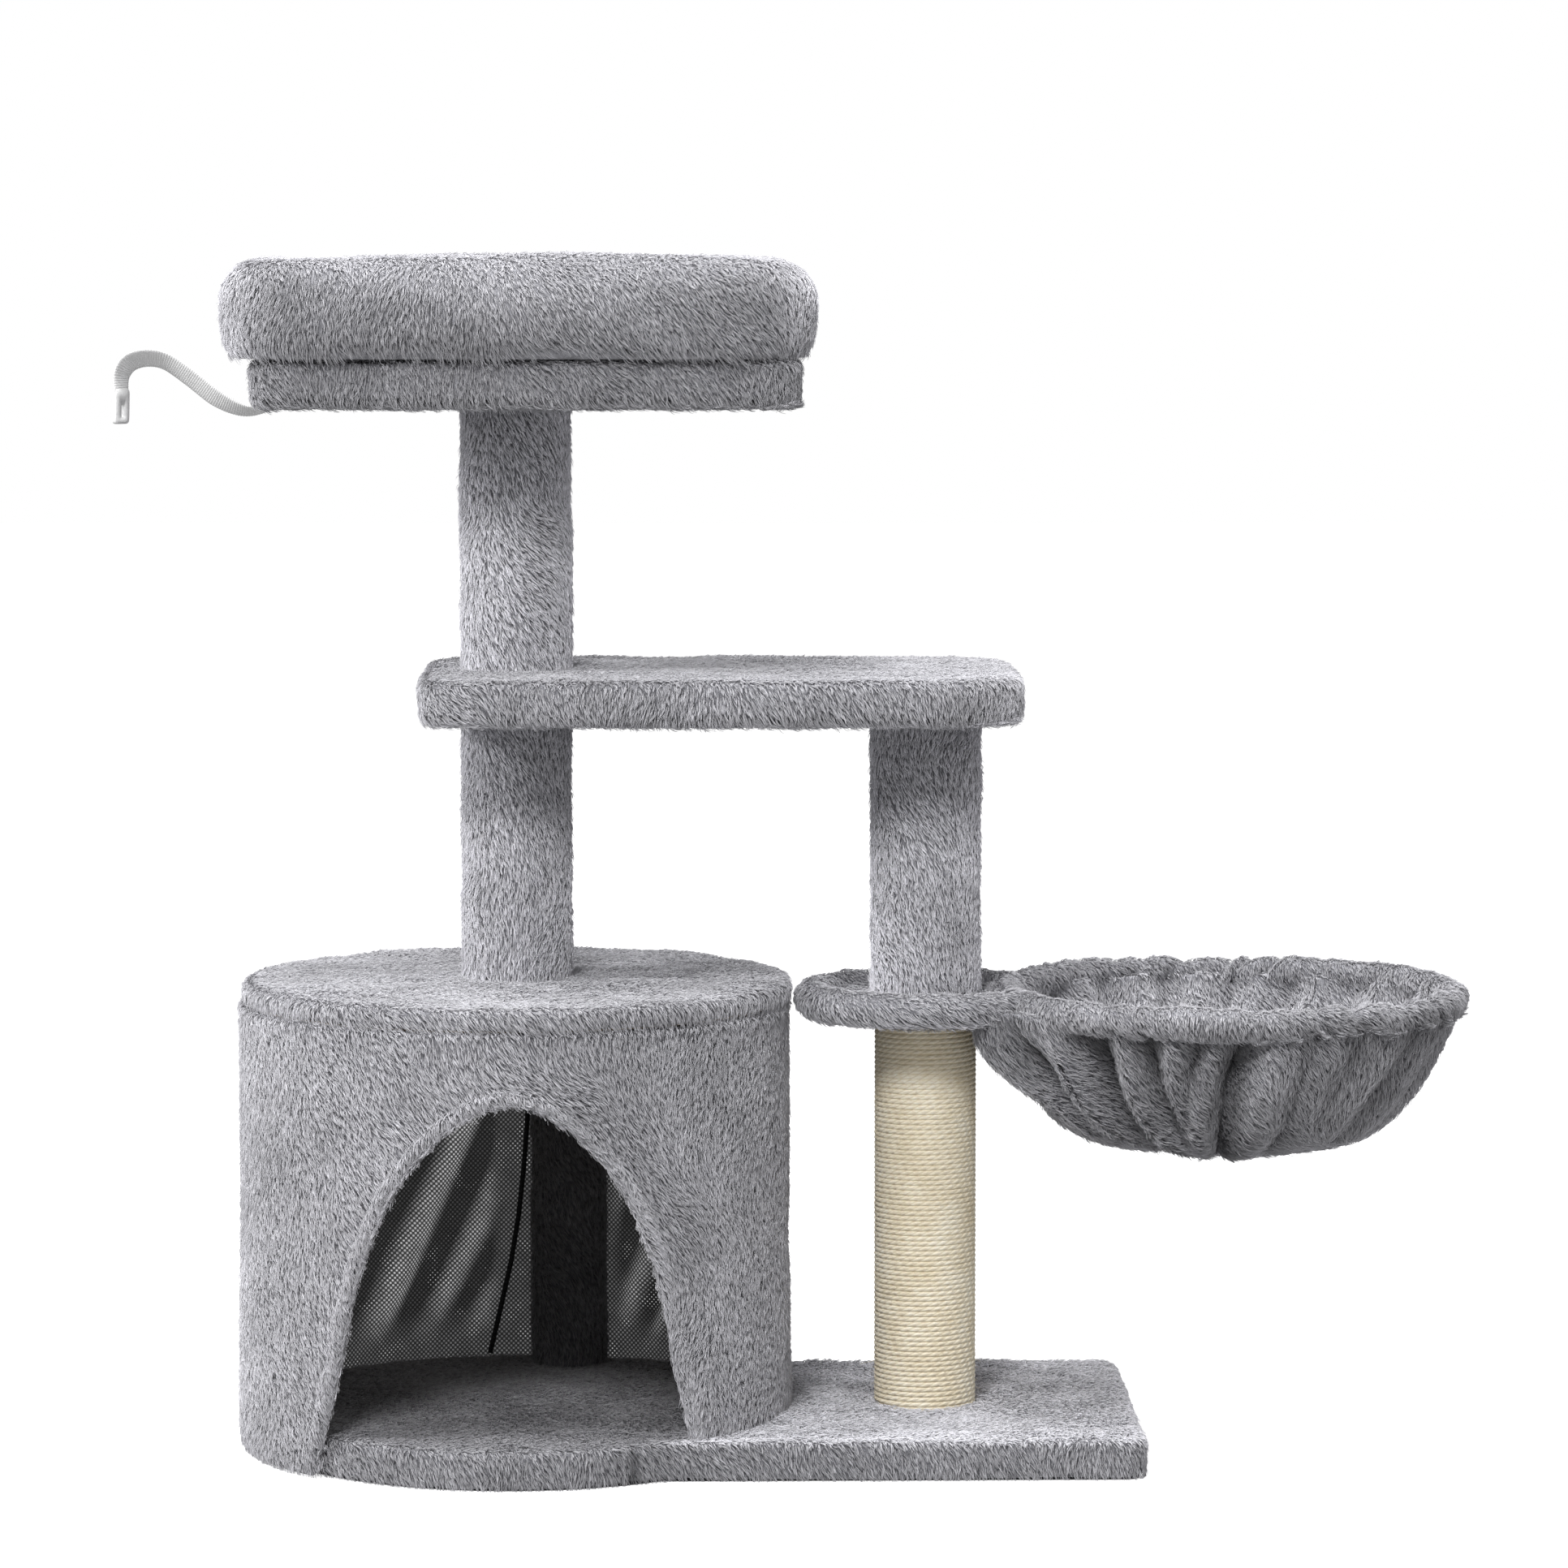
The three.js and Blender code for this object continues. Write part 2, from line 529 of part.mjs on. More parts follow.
function hammock() {
  const group = new THREE.Group();
  group.position.set(RIGHT_POST.x, RIGHT_POST.y, FRAME_Z);
  tree.add(group);
  const path = loopPath();
  const alongLoop = (radius, sides) => swept(circleSection(radius, sides), path, 24);
  const aroundRing = (radius, sides) =>
    new THREE.TorusGeometry(RING.radius, radius, sides, 32).translate(RING.offset, 0, 0);
  const bar = (grow) =>
    new THREE.BoxGeometry(
      BAR.width + 2 * grow,
      2 * LOOP.radius + 2 * grow,
      BAR.thickness + 2 * grow - 2 * GAP,
    );

  const wires = join(aroundRing(RING.wire, 6), alongLoop(RING.wire, 6), bar(0));
  place(group, "hammock_frame", cut(wires, cylinder(HOLE_R, -5, 5, 12)), steel);

  const web = cylinder(LOOP.radius, -LOOP.web, LOOP.web, 24);
  const loopSleeve = cut(
    join(alongLoop(LOOP.sleeve, 8), web),
    cylinder(POST.plush + 2 * GAP, -10, 10, POST.segments),
    cylinder(RING.radius, -20, 20, 32).translate(RING.offset, 0, 0),
    aroundRing(RING.sleeve + GAP, 8),
    alongLoop(RING.wire + 2 * GAP, 6),
    bar(2 * GAP),
  );
  place(group, "hammock_loop_sleeve", loopSleeve, plush);
  const rim = cut(
    aroundRing(RING.sleeve, 8),
    aroundRing(RING.wire + 2 * GAP, 6),
    alongLoop(RING.wire + 2 * GAP, 6),
  );
  place(group, "hammock_rim_sleeve", rim, plush);

  const inner = BOWL.map(([r, z], i) => {
    const lean = i / (BOWL.length - 1); // side walls are offset inwards, the floor upwards
    return [r - BOWL_CLOTH * lean, z + BOWL_CLOTH * (1 - lean)];
  });
  const profile = [[0, 0], ...BOWL, ...inner.reverse(), [0, BOWL_CLOTH]];
  const points = profile.map(([r, z]) => new THREE.Vector2(r, z));
  const cloth = new THREE.LatheGeometry(points, 32)
    .rotateX(Math.PI / 2)
    .translate(RING.offset, 0, BOWL_BOTTOM - FRAME_Z);
  place(group, "hammock_bowl", cut(cloth, aroundRing(RING.sleeve + GAP, 8)), plush);
}
hammock();

export default tree;
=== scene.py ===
"""The looks of a plush cat tree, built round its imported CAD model.

Every length is in metres. Positions come from the CAD nodes' boxes. The plush is a rounded,
slightly lumpy surface under short hair; the rope, the webbing, the gathered hammock and the padded
bed are modelled in full.
"""

import math

import bmesh
import bpy
import numpy as np
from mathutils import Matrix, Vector


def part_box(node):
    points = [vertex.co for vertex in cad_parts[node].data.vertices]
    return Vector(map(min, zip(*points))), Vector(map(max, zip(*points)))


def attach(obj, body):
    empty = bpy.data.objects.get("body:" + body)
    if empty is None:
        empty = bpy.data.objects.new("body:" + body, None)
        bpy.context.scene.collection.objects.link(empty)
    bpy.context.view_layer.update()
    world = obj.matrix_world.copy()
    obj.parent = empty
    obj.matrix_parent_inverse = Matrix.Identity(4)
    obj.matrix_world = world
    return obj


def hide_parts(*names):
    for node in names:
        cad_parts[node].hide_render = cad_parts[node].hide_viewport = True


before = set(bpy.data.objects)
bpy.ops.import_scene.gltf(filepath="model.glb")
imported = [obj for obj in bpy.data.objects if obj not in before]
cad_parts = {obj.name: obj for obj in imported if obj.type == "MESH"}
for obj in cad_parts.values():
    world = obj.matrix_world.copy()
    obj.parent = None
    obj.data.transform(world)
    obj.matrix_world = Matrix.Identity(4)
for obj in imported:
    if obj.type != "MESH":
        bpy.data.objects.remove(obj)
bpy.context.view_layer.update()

SCENE = bpy.context.scene


# ---------------------------------------------------------------- camera, light and floor
EYE, LOOK = Vector((-0.0215, -4.0, 0.798)), Vector((0.0214, 1.0, -0.0881))
LENS, SENSOR, FAR = 137.2, 36.0, 30.0  # millimetres, millimetres, metres
FILL = 0.50  # the backdrop's brightness as a light
FLOOR_HALF = 14.0
# The disc lights: place, target, size, power in watts
LIGHTS = {
    "top": ((-0.2, -0.3, 3.4), (0, 0, 0.3), 2.2, 128),
    "front": ((-0.6, -2.9, 2.7), (0, 0, 0.35), 1.0, 84),
    "side": ((-3.2, -0.8, 1.9), (0, 0, 0.5), 1.2, 84),
}


def placed(name, data):
    """A new object in the scene."""
    thing = bpy.data.objects.new(name, data)
    SCENE.collection.objects.link(thing)
    return thing


def facing_along(direction):
    return direction.to_track_quat("-Z", "Y").to_euler()


def camera():
    data = bpy.data.cameras.new("camera")
    data.lens = LENS
    data.sensor_width = SENSOR
    data.clip_end = FAR
    view = placed("camera", data)
    view.location = EYE
    view.rotation_euler = facing_along(LOOK)
    SCENE.camera = view


def area_light(name, place, target, size, power):
    data = bpy.data.lights.new(name, "AREA")
    data.shape = "DISK"
    data.size = size
    data.energy = power
    lamp = placed(name, data)
    lamp.location = place
    lamp.rotation_euler = facing_along(Vector(target) - Vector(place))


def studio():
    """Most of the light comes from above; the plain white backdrop lights the object only a little."""
    world = bpy.data.worlds.new("studio")
    world.use_nodes = True
    tree = world.node_tree
    background = tree.nodes["Background"]
    background.inputs["Color"].default_value = (1.0, 1.0, 1.0, 1.0)
    seen = tree.nodes.new("ShaderNodeLightPath").outputs["Is Camera Ray"]
    strength = tree.nodes.new("ShaderNodeMapRange")
    strength.inputs["To Min"].default_value = FILL
    tree.links.new(seen, strength.inputs["Value"])
    tree.links.new(strength.outputs["Result"], background.inputs["Strength"])
    SCENE.world = world
    SCENE.view_settings.view_transform = "Standard"
    for name, (place, target, size, power) in LIGHTS.items():
        area_light(name, place, target, size, power)

    mesh = bpy.data.meshes.new("floor")
    corners = [(x * FLOOR_HALF, y * FLOOR_HALF, 0) for x, y in ((-1, -1), (1, -1), (1, 1), (-1, 1))]
    mesh.from_pydata(corners, [], [(0, 1, 2, 3)])
    floor = placed("floor", mesh)
    mesh.materials.append(floor_material())
    # The floor is a light box: it shows white, and throws no more light on the object than the backdrop
    floor.visible_diffuse = False
    floor.visible_glossy = False


# ---------------------------------------------------------------- node materials
class Nodes:
    """A material's node tree, with short calls to add and link nodes."""

    def __init__(self, name):
        self.material = bpy.data.materials.new(name)
        self.material.use_nodes = True
        self.tree = self.material.node_tree
        self.shader = self.tree.nodes["Principled BSDF"]
        self.position = self.add("ShaderNodeTexCoord").outputs["Object"]

    def add(self, kind, **settings):
        node = self.tree.nodes.new(kind)
        for key, value in settings.items():
            setattr(node, key, value)
        return node

    def link(self, source, target):
        self.tree.links.new(source, target)

    def stretched(self, scale):
        node = self.add("ShaderNodeMapping")
        node.inputs["Scale"].default_value = scale
        self.link(self.position, node.inputs["Vector"])
        return node.outputs["Vector"]

    def attribute(self, name, output="Fac"):
        return self.add("ShaderNodeAttribute", attribute_name=name).outputs[output]

    def noise(self, scale, detail=2.0, vector=None, roughness=0.5, distortion=0.0):
        node = self.add("ShaderNodeTexNoise")
        node.inputs["Scale"].default_value = scale
        node.inputs["Detail"].default_value = detail
        node.inputs["Roughness"].default_value = roughness
        node.inputs["Distortion"].default_value = distortion
        self.link(self.position if vector is None else vector, node.inputs["Vector"])
        return node.outputs["Fac"]

    def ramp(self, value, *stops):
        """Colour stops as (position, (r, g, b)), with a grey given as one number."""
        node = self.add("ShaderNodeValToRGB")
        elements = node.color_ramp.elements
        while len(elements) < len(stops):
            elements.new(0.5)
        for element, (place, colour) in zip(elements, stops):
            element.position = place
            rgb = (colour,) * 3 if isinstance(colour, (int, float)) else colour
            element.color = (*rgb, 1.0)
        self.link(value, node.inputs["Fac"])
        return node.outputs["Color"]

    def math(self, operation, a, b=0.0):
        node = self.add("ShaderNodeMath", operation=operation)
        for socket, value in zip(node.inputs, (a, b)):
            if isinstance(value, (int, float)):
                socket.default_value = value
            else:
                self.link(value, socket)
        return node.outputs[0]

    def mix(self, factor, a, b, blend="MIX"):
        node = self.add("ShaderNodeMix", data_type="RGBA", blend_type=blend)
        for socket, value in ((node.inputs[0], factor), (node.inputs[6], a), (node.inputs[7], b)):
            if isinstance(value, (int, float)):
                socket.default_value = value
            elif isinstance(value, tuple):
                socket.default_value = (*value, 1.0)
            else:
                self.link(value, socket)
        return node.outputs[2]

    def times(self, a, b):
        return self.mix(1.0, a, b, "MULTIPLY")

    def weighted(self, a, share_of_a, b, share_of_b):
        return self.math("ADD", self.math("MULTIPLY", a, share_of_a), self.math("MULTIPLY", b, share_of_b))

    def bump(self, height, distance):
        node = self.add("ShaderNodeBump")
        node.inputs["Distance"].default_value = distance
        node.inputs["Strength"].default_value = 1.0
        self.link(height, node.inputs["Height"])
        return node.outputs["Normal"]

    def finish(self, colour, roughness, normal=None, metallic=0.0, sheen=0.0):
        """Links the maps to the shader, sets its plain values, and gives the material."""
        inputs = self.shader.inputs
        self.link(colour, inputs["Base Color"])
        if isinstance(roughness, (int, float)):
            inputs["Roughness"].default_value = roughness
        else:
            self.link(roughness, inputs["Roughness"])
        inputs["Metallic"].default_value = metallic
        inputs["Specular IOR Level"].default_value = 0.5 if metallic else 0.25
        inputs["Sheen Weight"].default_value = sheen
        inputs["Sheen Roughness"].default_value = 0.45
        if normal is not None:
            self.link(normal, inputs["Normal"])
        return self.material


def floor_material():
    n = Nodes("floor")
    colour = n.ramp(n.noise(3.0), (0.3, 0.49), (0.7, 0.51))
    n.shader.inputs["Emission Color"].default_value = (1.0, 1.0, 1.0, 1.0)
    n.shader.inputs["Emission Strength"].default_value = 0.8
    return n.finish(colour, 0.9)


WEAVE_PITCH = 0.0034
PLUSH_DARK = (0.150, 0.150, 0.163)
PLUSH_LIGHT = (0.440, 0.440, 0.475)
HAIR_TINT = (0.985, 0.978, 1.03)
# The dark root is painted shade deep in the pile
HAIR_PAINTED_SHADES = (0.14, 0.55, 0.84)  # at the root, the middle and the tip


def nap_patches(n):
    """Broad lighter and darker areas where the pile lies differently."""
    broad = n.noise(9.0, detail=2.0, distortion=0.6)
    small = n.noise(34.0, detail=2.0, distortion=0.8)
    return n.weighted(broad, 0.6, small, 0.4)


def plush_material(name, stretch=(1.0, 1.0, 0.28), light=1.0):
    """Short plush: streaks of fibres along one axis, tufts, and patches of turned nap, with painted shade
    where the pile is low between the tufts.
    """
    n = Nodes(name)
    streaks = n.noise(760.0, detail=3.0, vector=n.stretched(stretch), distortion=1.2)
    tufts = n.noise(190.0, detail=2.0, vector=n.stretched(tuple(0.4 + 0.6 * s for s in stretch)))
    height = n.weighted(streaks, 0.55, tufts, 0.75)
    value = n.weighted(height, 0.75, nap_patches(n), 0.5)
    dark, bright = (tuple(c * light for c in tint) for tint in (PLUSH_DARK, PLUSH_LIGHT))
    # Darker where the pile is low, as painted shade in the crevices, and in random patches of nap
    colour = n.ramp(value, (0.48, dark), (0.92, bright))
    return n.finish(colour, 0.95, n.bump(height, 0.0022), sheen=0.25)


def hair_material(name, light=1.0):
    """The pile itself: dark at the root as painted shade deep in the pile, light at the tip, each hair and
    each tuft a little different, and each piece lit or shaded by painted light.
    """
    n = Nodes(name)
    info = n.add("ShaderNodeHairInfo")
    root, middle, tip = (tuple(tint * shade * light for tint in HAIR_TINT) for shade in HAIR_PAINTED_SHADES)
    along = n.ramp(info.outputs["Intercept"], (0.0, root), (0.5, middle), (1.0, tip))
    each = n.ramp(info.outputs["Random"], (0.0, 0.82), (0.7, 1.0), (1.0, 1.14))
    # The tuft attribute holds the piece's painted light plus each tuft's random tone
    tufts = n.ramp(n.attribute("tuft"), (0.0, 0.35), (1.0, 1.35))
    patches = n.ramp(nap_patches(n), (0.38, 0.86), (0.62, 1.07))
    return n.finish(n.times(n.times(along, each), n.times(tufts, patches)), 0.75)


def weave_material():
    """The fabric's backing: a dark grey plain weave, painted lighter and glowing as painted light coming
    through it, brightest on the fold crests, with painted glints at the pinholes.
    """
    n = Nodes("woven_backing")
    split = n.add("ShaderNodeSeparateXYZ")
    n.link(n.attribute("cloth", "Vector"), split.inputs[0])
    along_wall, up_wall, fold_crest = split.outputs
    across, along = (
        n.math("SINE", n.math("MULTIPLY", place, 2 * math.pi / WEAVE_PITCH))
        for place in (along_wall, up_wall)
    )
    threads = n.math("MULTIPLY", across, along)
    weave = n.ramp(threads, (0.0, 0.10), (0.45, 1.0))
    fold_crest_light = n.ramp(fold_crest, (0.15, 0.10), (0.95, 1.0))
    cloudy = n.ramp(n.noise(90.0, detail=3.0), (0.3, 0.7), (0.7, 1.0))
    light = n.times(n.times(weave, fold_crest_light), cloudy)
    pinholes = n.ramp(threads, (0.75, 0.0), (0.95, 1.0))
    sparks = n.times(pinholes, n.ramp(n.noise(70.0, detail=3.0), (0.56, 0.0), (0.7, 1.0)))
    # The colour is lighter on the fold crests: painted highlight
    colour = n.mix(light, (0.05, 0.05, 0.052), (0.50, 0.50, 0.51))
    glow = n.mix(light, (0.004, 0.004, 0.004), (0.44, 0.44, 0.445))
    # The emission is painted light coming through the weave
    n.link(n.mix(sparks, glow, (0.75, 0.75, 0.75)), n.shader.inputs["Emission Color"])
    n.shader.inputs["Emission Strength"].default_value = 1.0
    return n.finish(colour, 0.5, n.bump(threads, 0.0006))


def sisal_material():
    """Twisted natural fibre: fine fibres, pale and tan threads, and painted shade in the slanting grooves
    between the strands.
    """
    n = Nodes("sisal_rope")
    groove = n.math("PINGPONG", n.attribute("strands"), 0.5)
    fibre = n.noise(900.0, detail=4.0, vector=n.stretched((0.35, 0.35, 2.2)), distortion=0.5)
    patch = n.noise(45.0, detail=2.0)
    value = n.weighted(fibre, 0.62, patch, 0.38)
    fibres = n.ramp(value, (0.34, (0.76, 0.66, 0.47)), (0.52, (0.95, 0.87, 0.70)), (0.7, (0.99, 0.96, 0.85)))
    # The grooves between the strands are painted darker: painted shade
    colour = n.mix(n.ramp(groove, (0.30, 0.0), (0.5, 0.55)), fibres, (0.62, 0.51, 0.33))
    height = n.math("SUBTRACT", n.math("MULTIPLY", fibre, 0.5), groove)
    return n.finish(colour, 0.85, n.bump(height, 0.0010))


def webbing_material():
    """Pale webbing with fine ribs across it."""
    n = Nodes("webbing")
    rib = n.noise(1500.0, detail=2.0, vector=n.stretched((1.0, 0.25, 1.0)))
    colour = n.ramp(n.math("ADD", n.math("MULTIPLY", rib, 0.6), 0.2), (0.3, 0.66), (0.7, 0.86))
    return n.finish(colour, 0.7, n.bump(rib, 0.0003))


def speckled_material(name, low, high, scale, roughness, stretch=(1.0, 1.0, 1.0), metallic=0.0, depth=0.0003):
    """Raw board, card, timber, felt or plated steel: flecks of two tones, with a matching bump."""
    n = Nodes(name)
    fleck = n.noise(scale, detail=4.0, vector=n.stretched(stretch), roughness=0.65)
    colour = n.ramp(fleck, (0.35, low), (0.65, high))
    rough = n.ramp(fleck, (0.3, roughness * 0.85), (0.7, min(roughness * 1.1, 1.0)))
    return n.finish(colour, rough, n.bump(fleck, depth), metallic=metallic)


# ---------------------------------------------------------------- numbers
def random(seed):
    return np.random.default_rng(seed)


def lattice(cell, seed):
    """A repeatable number from 0 to 1 for each whole-number cell."""
    prime = np.array([374761393, 668265263, 2147483647], dtype=np.int64)
    mixed = (cell.astype(np.int64) * prime).sum(-1) + seed * 974634777
    mixed = (mixed ^ (mixed >> 13)) * 1274126177
    return ((mixed ^ (mixed >> 16)) & 0xFFFF) / 65535.0


def noise(points, size, seed=0):
    """Smooth noise from -1 to 1 whose lumps are about `size` across."""
    scaled = np.asarray(points, float) / size
    low = np.floor(scaled)
    part = scaled - low
    part = part * part * (3 - 2 * part)
    total = np.zeros(len(scaled))
    for corner in np.ndindex(2, 2, 2):
        weight = np.prod(np.where(corner, part, 1 - part), axis=-1)
        total += weight * lattice(low + corner, seed)
    return 2 * total - 1


def smooth_step(value, low, high):
    part = np.clip((value - low) / (high - low), 0, 1)
    return part * part * (3 - 2 * part)


def unit(vectors):
    return vectors / np.maximum(np.linalg.norm(vectors, axis=-1, keepdims=True), 1e-9)


def full_turn(count):
    return np.linspace(0, 2 * math.pi, count, endpoint=False)


def wrapped(angle):
    """An angle brought between half a turn back and half a turn on."""
    return (angle + math.pi) % (2 * math.pi) - math.pi


def spokes(turn):
    """Level unit vectors pointing out at each angle."""
    return np.stack([np.cos(turn), np.sin(turn), 0 * turn], axis=1)


# ---------------------------------------------------------------- meshes
SIM_FRAMES = 20
CLOTH_MASS = 0.25  # of each point, in kilograms


def mesh_object(name, points, faces, *materials):
    mesh = bpy.data.meshes.new(name)
    mesh.from_pydata(np.asarray(points, float).tolist(), [], faces)
    for material in materials:
        mesh.materials.append(material)
    mesh.shade_smooth()
    return placed(name, mesh)


def grid_faces(rows, columns, close_rows=False):
    """Faces between rows of points, each row a closed ring."""
    faces = []
    for i in range(rows if close_rows else rows - 1):
        for j in range(columns):
            k, m = (i + 1) % rows, (j + 1) % columns
            faces.append((i * columns + j, i * columns + m, k * columns + m, k * columns + j))
    return faces


def capped_grid(rows, columns):
    """Rings of points from one end to the other, closed by a fan on the two extra points at the end."""
    faces = grid_faces(rows, columns)
    first, last = rows * columns, rows * columns + 1
    top = (rows - 1) * columns
    for j in range(columns):
        m = (j + 1) % columns
        faces.append((first, m, j))
        faces.append((last, top + j, top + m))
    return faces


def apply_modifiers(piece):
    view = bpy.context.evaluated_depsgraph_get()
    mesh = bpy.data.meshes.new_from_object(piece.evaluated_get(view))
    piece.modifiers.clear()
    piece.data = mesh
    mesh.shade_smooth()


def coordinates(mesh):
    points = np.empty(len(mesh.vertices) * 3)
    mesh.vertices.foreach_get("co", points)
    return points.reshape(-1, 3)


def normals(mesh):
    vectors = np.empty(len(mesh.vertices) * 3)
    mesh.vertices.foreach_get("normal", vectors)
    return vectors.reshape(-1, 3)


def move_points(mesh, points):
    mesh.vertices.foreach_set("co", np.asarray(points, float).ravel())
    mesh.update()


def stand_on(piece, height):
    """Presses a piece flat where it would reach below a height."""
    points = coordinates(piece.data)
    points[:, 2] = np.maximum(points[:, 2], height)
    move_points(piece.data, points)


def set_attribute(owner, name, domain, values):
    """Stores a number or a vector for each point or curve."""
    values = np.asarray(values, np.float32)
    kind, field = ("FLOAT", "value") if values.ndim == 1 else ("FLOAT_VECTOR", "vector")
    owner.attributes.new(name, kind, domain).data.foreach_set(field, values.ravel())


def lump(piece, height, size, seed):
    """Makes a plush surface slightly uneven."""
    points = coordinates(piece.data)
    swell = height * (noise(points, size, seed) + 0.5 * noise(points, size * 0.4, seed + 1))
    move_points(piece.data, points + normals(piece.data) * swell[:, None])


def remeshed(piece, voxel, smoothing):
    """Gives a closed piece an even skin of small faces."""
    remesh = piece.modifiers.new("remesh", "REMESH")
    remesh.mode = "VOXEL"
    remesh.voxel_size = voxel
    smooth = piece.modifiers.new("smooth", "SMOOTH")
    smooth.factor = 0.5
    smooth.iterations = smoothing
    apply_modifiers(piece)


def inflate(piece, pressure, cap):
    """Fills a padded piece as sewn cloth under pressure, and limits how far any point moves."""
    before = coordinates(piece.data)
    cloth = piece.modifiers.new("cloth", "CLOTH")
    cloth.settings.quality = 6
    cloth.settings.mass = CLOTH_MASS
    cloth.settings.use_pressure = True
    cloth.settings.uniform_pressure_force = pressure
    cloth.settings.effector_weights.gravity = 0.0
    cloth.settings.bending_stiffness = 2.0
    cloth.point_cache.frame_end = SIM_FRAMES
    for frame_number in range(1, SIM_FRAMES + 1):
        SCENE.frame_set(frame_number)
    view = bpy.context.evaluated_depsgraph_get()
    filled = piece.evaluated_get(view)
    moved = coordinates(filled.data) - before
    SCENE.frame_set(1)
    piece.modifiers.clear()
    far = np.maximum(np.linalg.norm(moved, axis=1), 1e-9)
    move_points(piece.data, before + moved * np.minimum(1, cap / far)[:, None])
    finer = piece.modifiers.new("finer", "SUBSURF")
    finer.levels = 1
    apply_modifiers(piece)


def settle(piece, body, node):
    """Puts a piece on its body, in place of a CAD node, which it hides."""
    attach(piece, body)
    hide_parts(node)


def round_box(node):
    """A round upright node's box, middle and radius."""
    low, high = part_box(node)
    return low, high, (low + high) / 2, (high.x - low.x) / 2


# ---------------------------------------------------------------- pile
PILE = hair_material("plush_pile")
PILE_DENSITY = 640000.0  # hairs in a square metre
PILE_LENGTH = 0.0064
PILE_RISE = 0.0027  # the backing lies this far inside the CAD surface, which is at half the pile
TUFT = 0.0017
CELL_SPAN = 8192  # more than the number of tufts along any side of the object
DOWN = np.array([0.45, -0.30, -1.0])  # the way the pile is brushed
ROOT_DEPTH = 0.0004
# A hair's points after its root: out of the surface and along it, as parts of its length
HAIR_SHAPE = ((0.36, 0.20), (0.52, 0.60), (0.50, 0.92))
HAIR_RADII = (0.00018, 0.00017, 0.00014, 0.00006)
DRAW = (0.0, 0.10, 0.26, 0.42)  # how far a hair's points are drawn to its tuft's middle


def triangles(mesh):
    mesh.calc_loop_triangles()
    corners = np.empty(len(mesh.loop_triangles) * 3, dtype=np.int64)
    mesh.loop_triangles.foreach_get("vertices", corners)
    return corners.reshape(-1, 3)


def lie_down(points, normal, seed):
    """The way the pile lies: mostly down, turned this way and that in swirls."""
    along = unit(DOWN - normal * (normal @ DOWN)[:, None])
    across = np.cross(normal, along)
    angle = 0.85 * noise(points, 0.085, seed) + 0.35 * noise(points, 0.024, seed + 3)
    return along * np.cos(angle)[:, None] + across * np.sin(angle)[:, None]


def tuft_numbers(points, seed):
    """The tuft that each point belongs to, and the number of tufts."""
    warp = np.stack([noise(points, 0.006, seed + k) for k in (4, 5, 6)], axis=1)
    cell = np.floor(points / TUFT + 0.8 * warp).astype(np.int64) + CELL_SPAN // 2
    key = (cell[:, 0] * CELL_SPAN + cell[:, 1]) * CELL_SPAN + cell[:, 2]
    known, number = np.unique(key, return_inverse=True)
    return number, len(known)


def in_tufts(strands, number, tufts):
    """Draws each hair towards the middle of its tuft, more at the tip than at the root."""
    size = np.maximum(np.bincount(number, minlength=tufts), 1)[:, None]
    for k, draw in enumerate(DRAW):
        total = np.stack([np.bincount(number, strands[:, k, axis], tufts) for axis in range(3)], axis=1)
        strands[:, k] += draw * ((total / size)[number] - strands[:, k])


def painted_light_levels(upright, level_shade):
    """Painted light for a pile: one brightness for its upright faces and one for its level ones, set for how
    the light falls on the piece.
    """
    return lambda root, up, level: upright + (level_shade - upright) * level


# The plain pile's painted light, on upright and on level faces
EVEN_PAINTED_LIGHT = painted_light_levels(0.50, 0.43)


def tied_hair(name, strands, radii, finish, piece):
    """Hairs as curves, given the points of each one, tied to their piece."""
    count, points = strands.shape[:2]
    hair = bpy.data.hair_curves.new(name)
    hair.add_curves([points] * count)
    hair.attributes["position"].data.foreach_set("vector", strands.astype(np.float32).ravel())
    set_attribute(hair, "radius", "POINT", np.tile(np.float32(radii), count))
    hair.materials.append(finish)
    placed(name, hair).parent = piece
    return hair


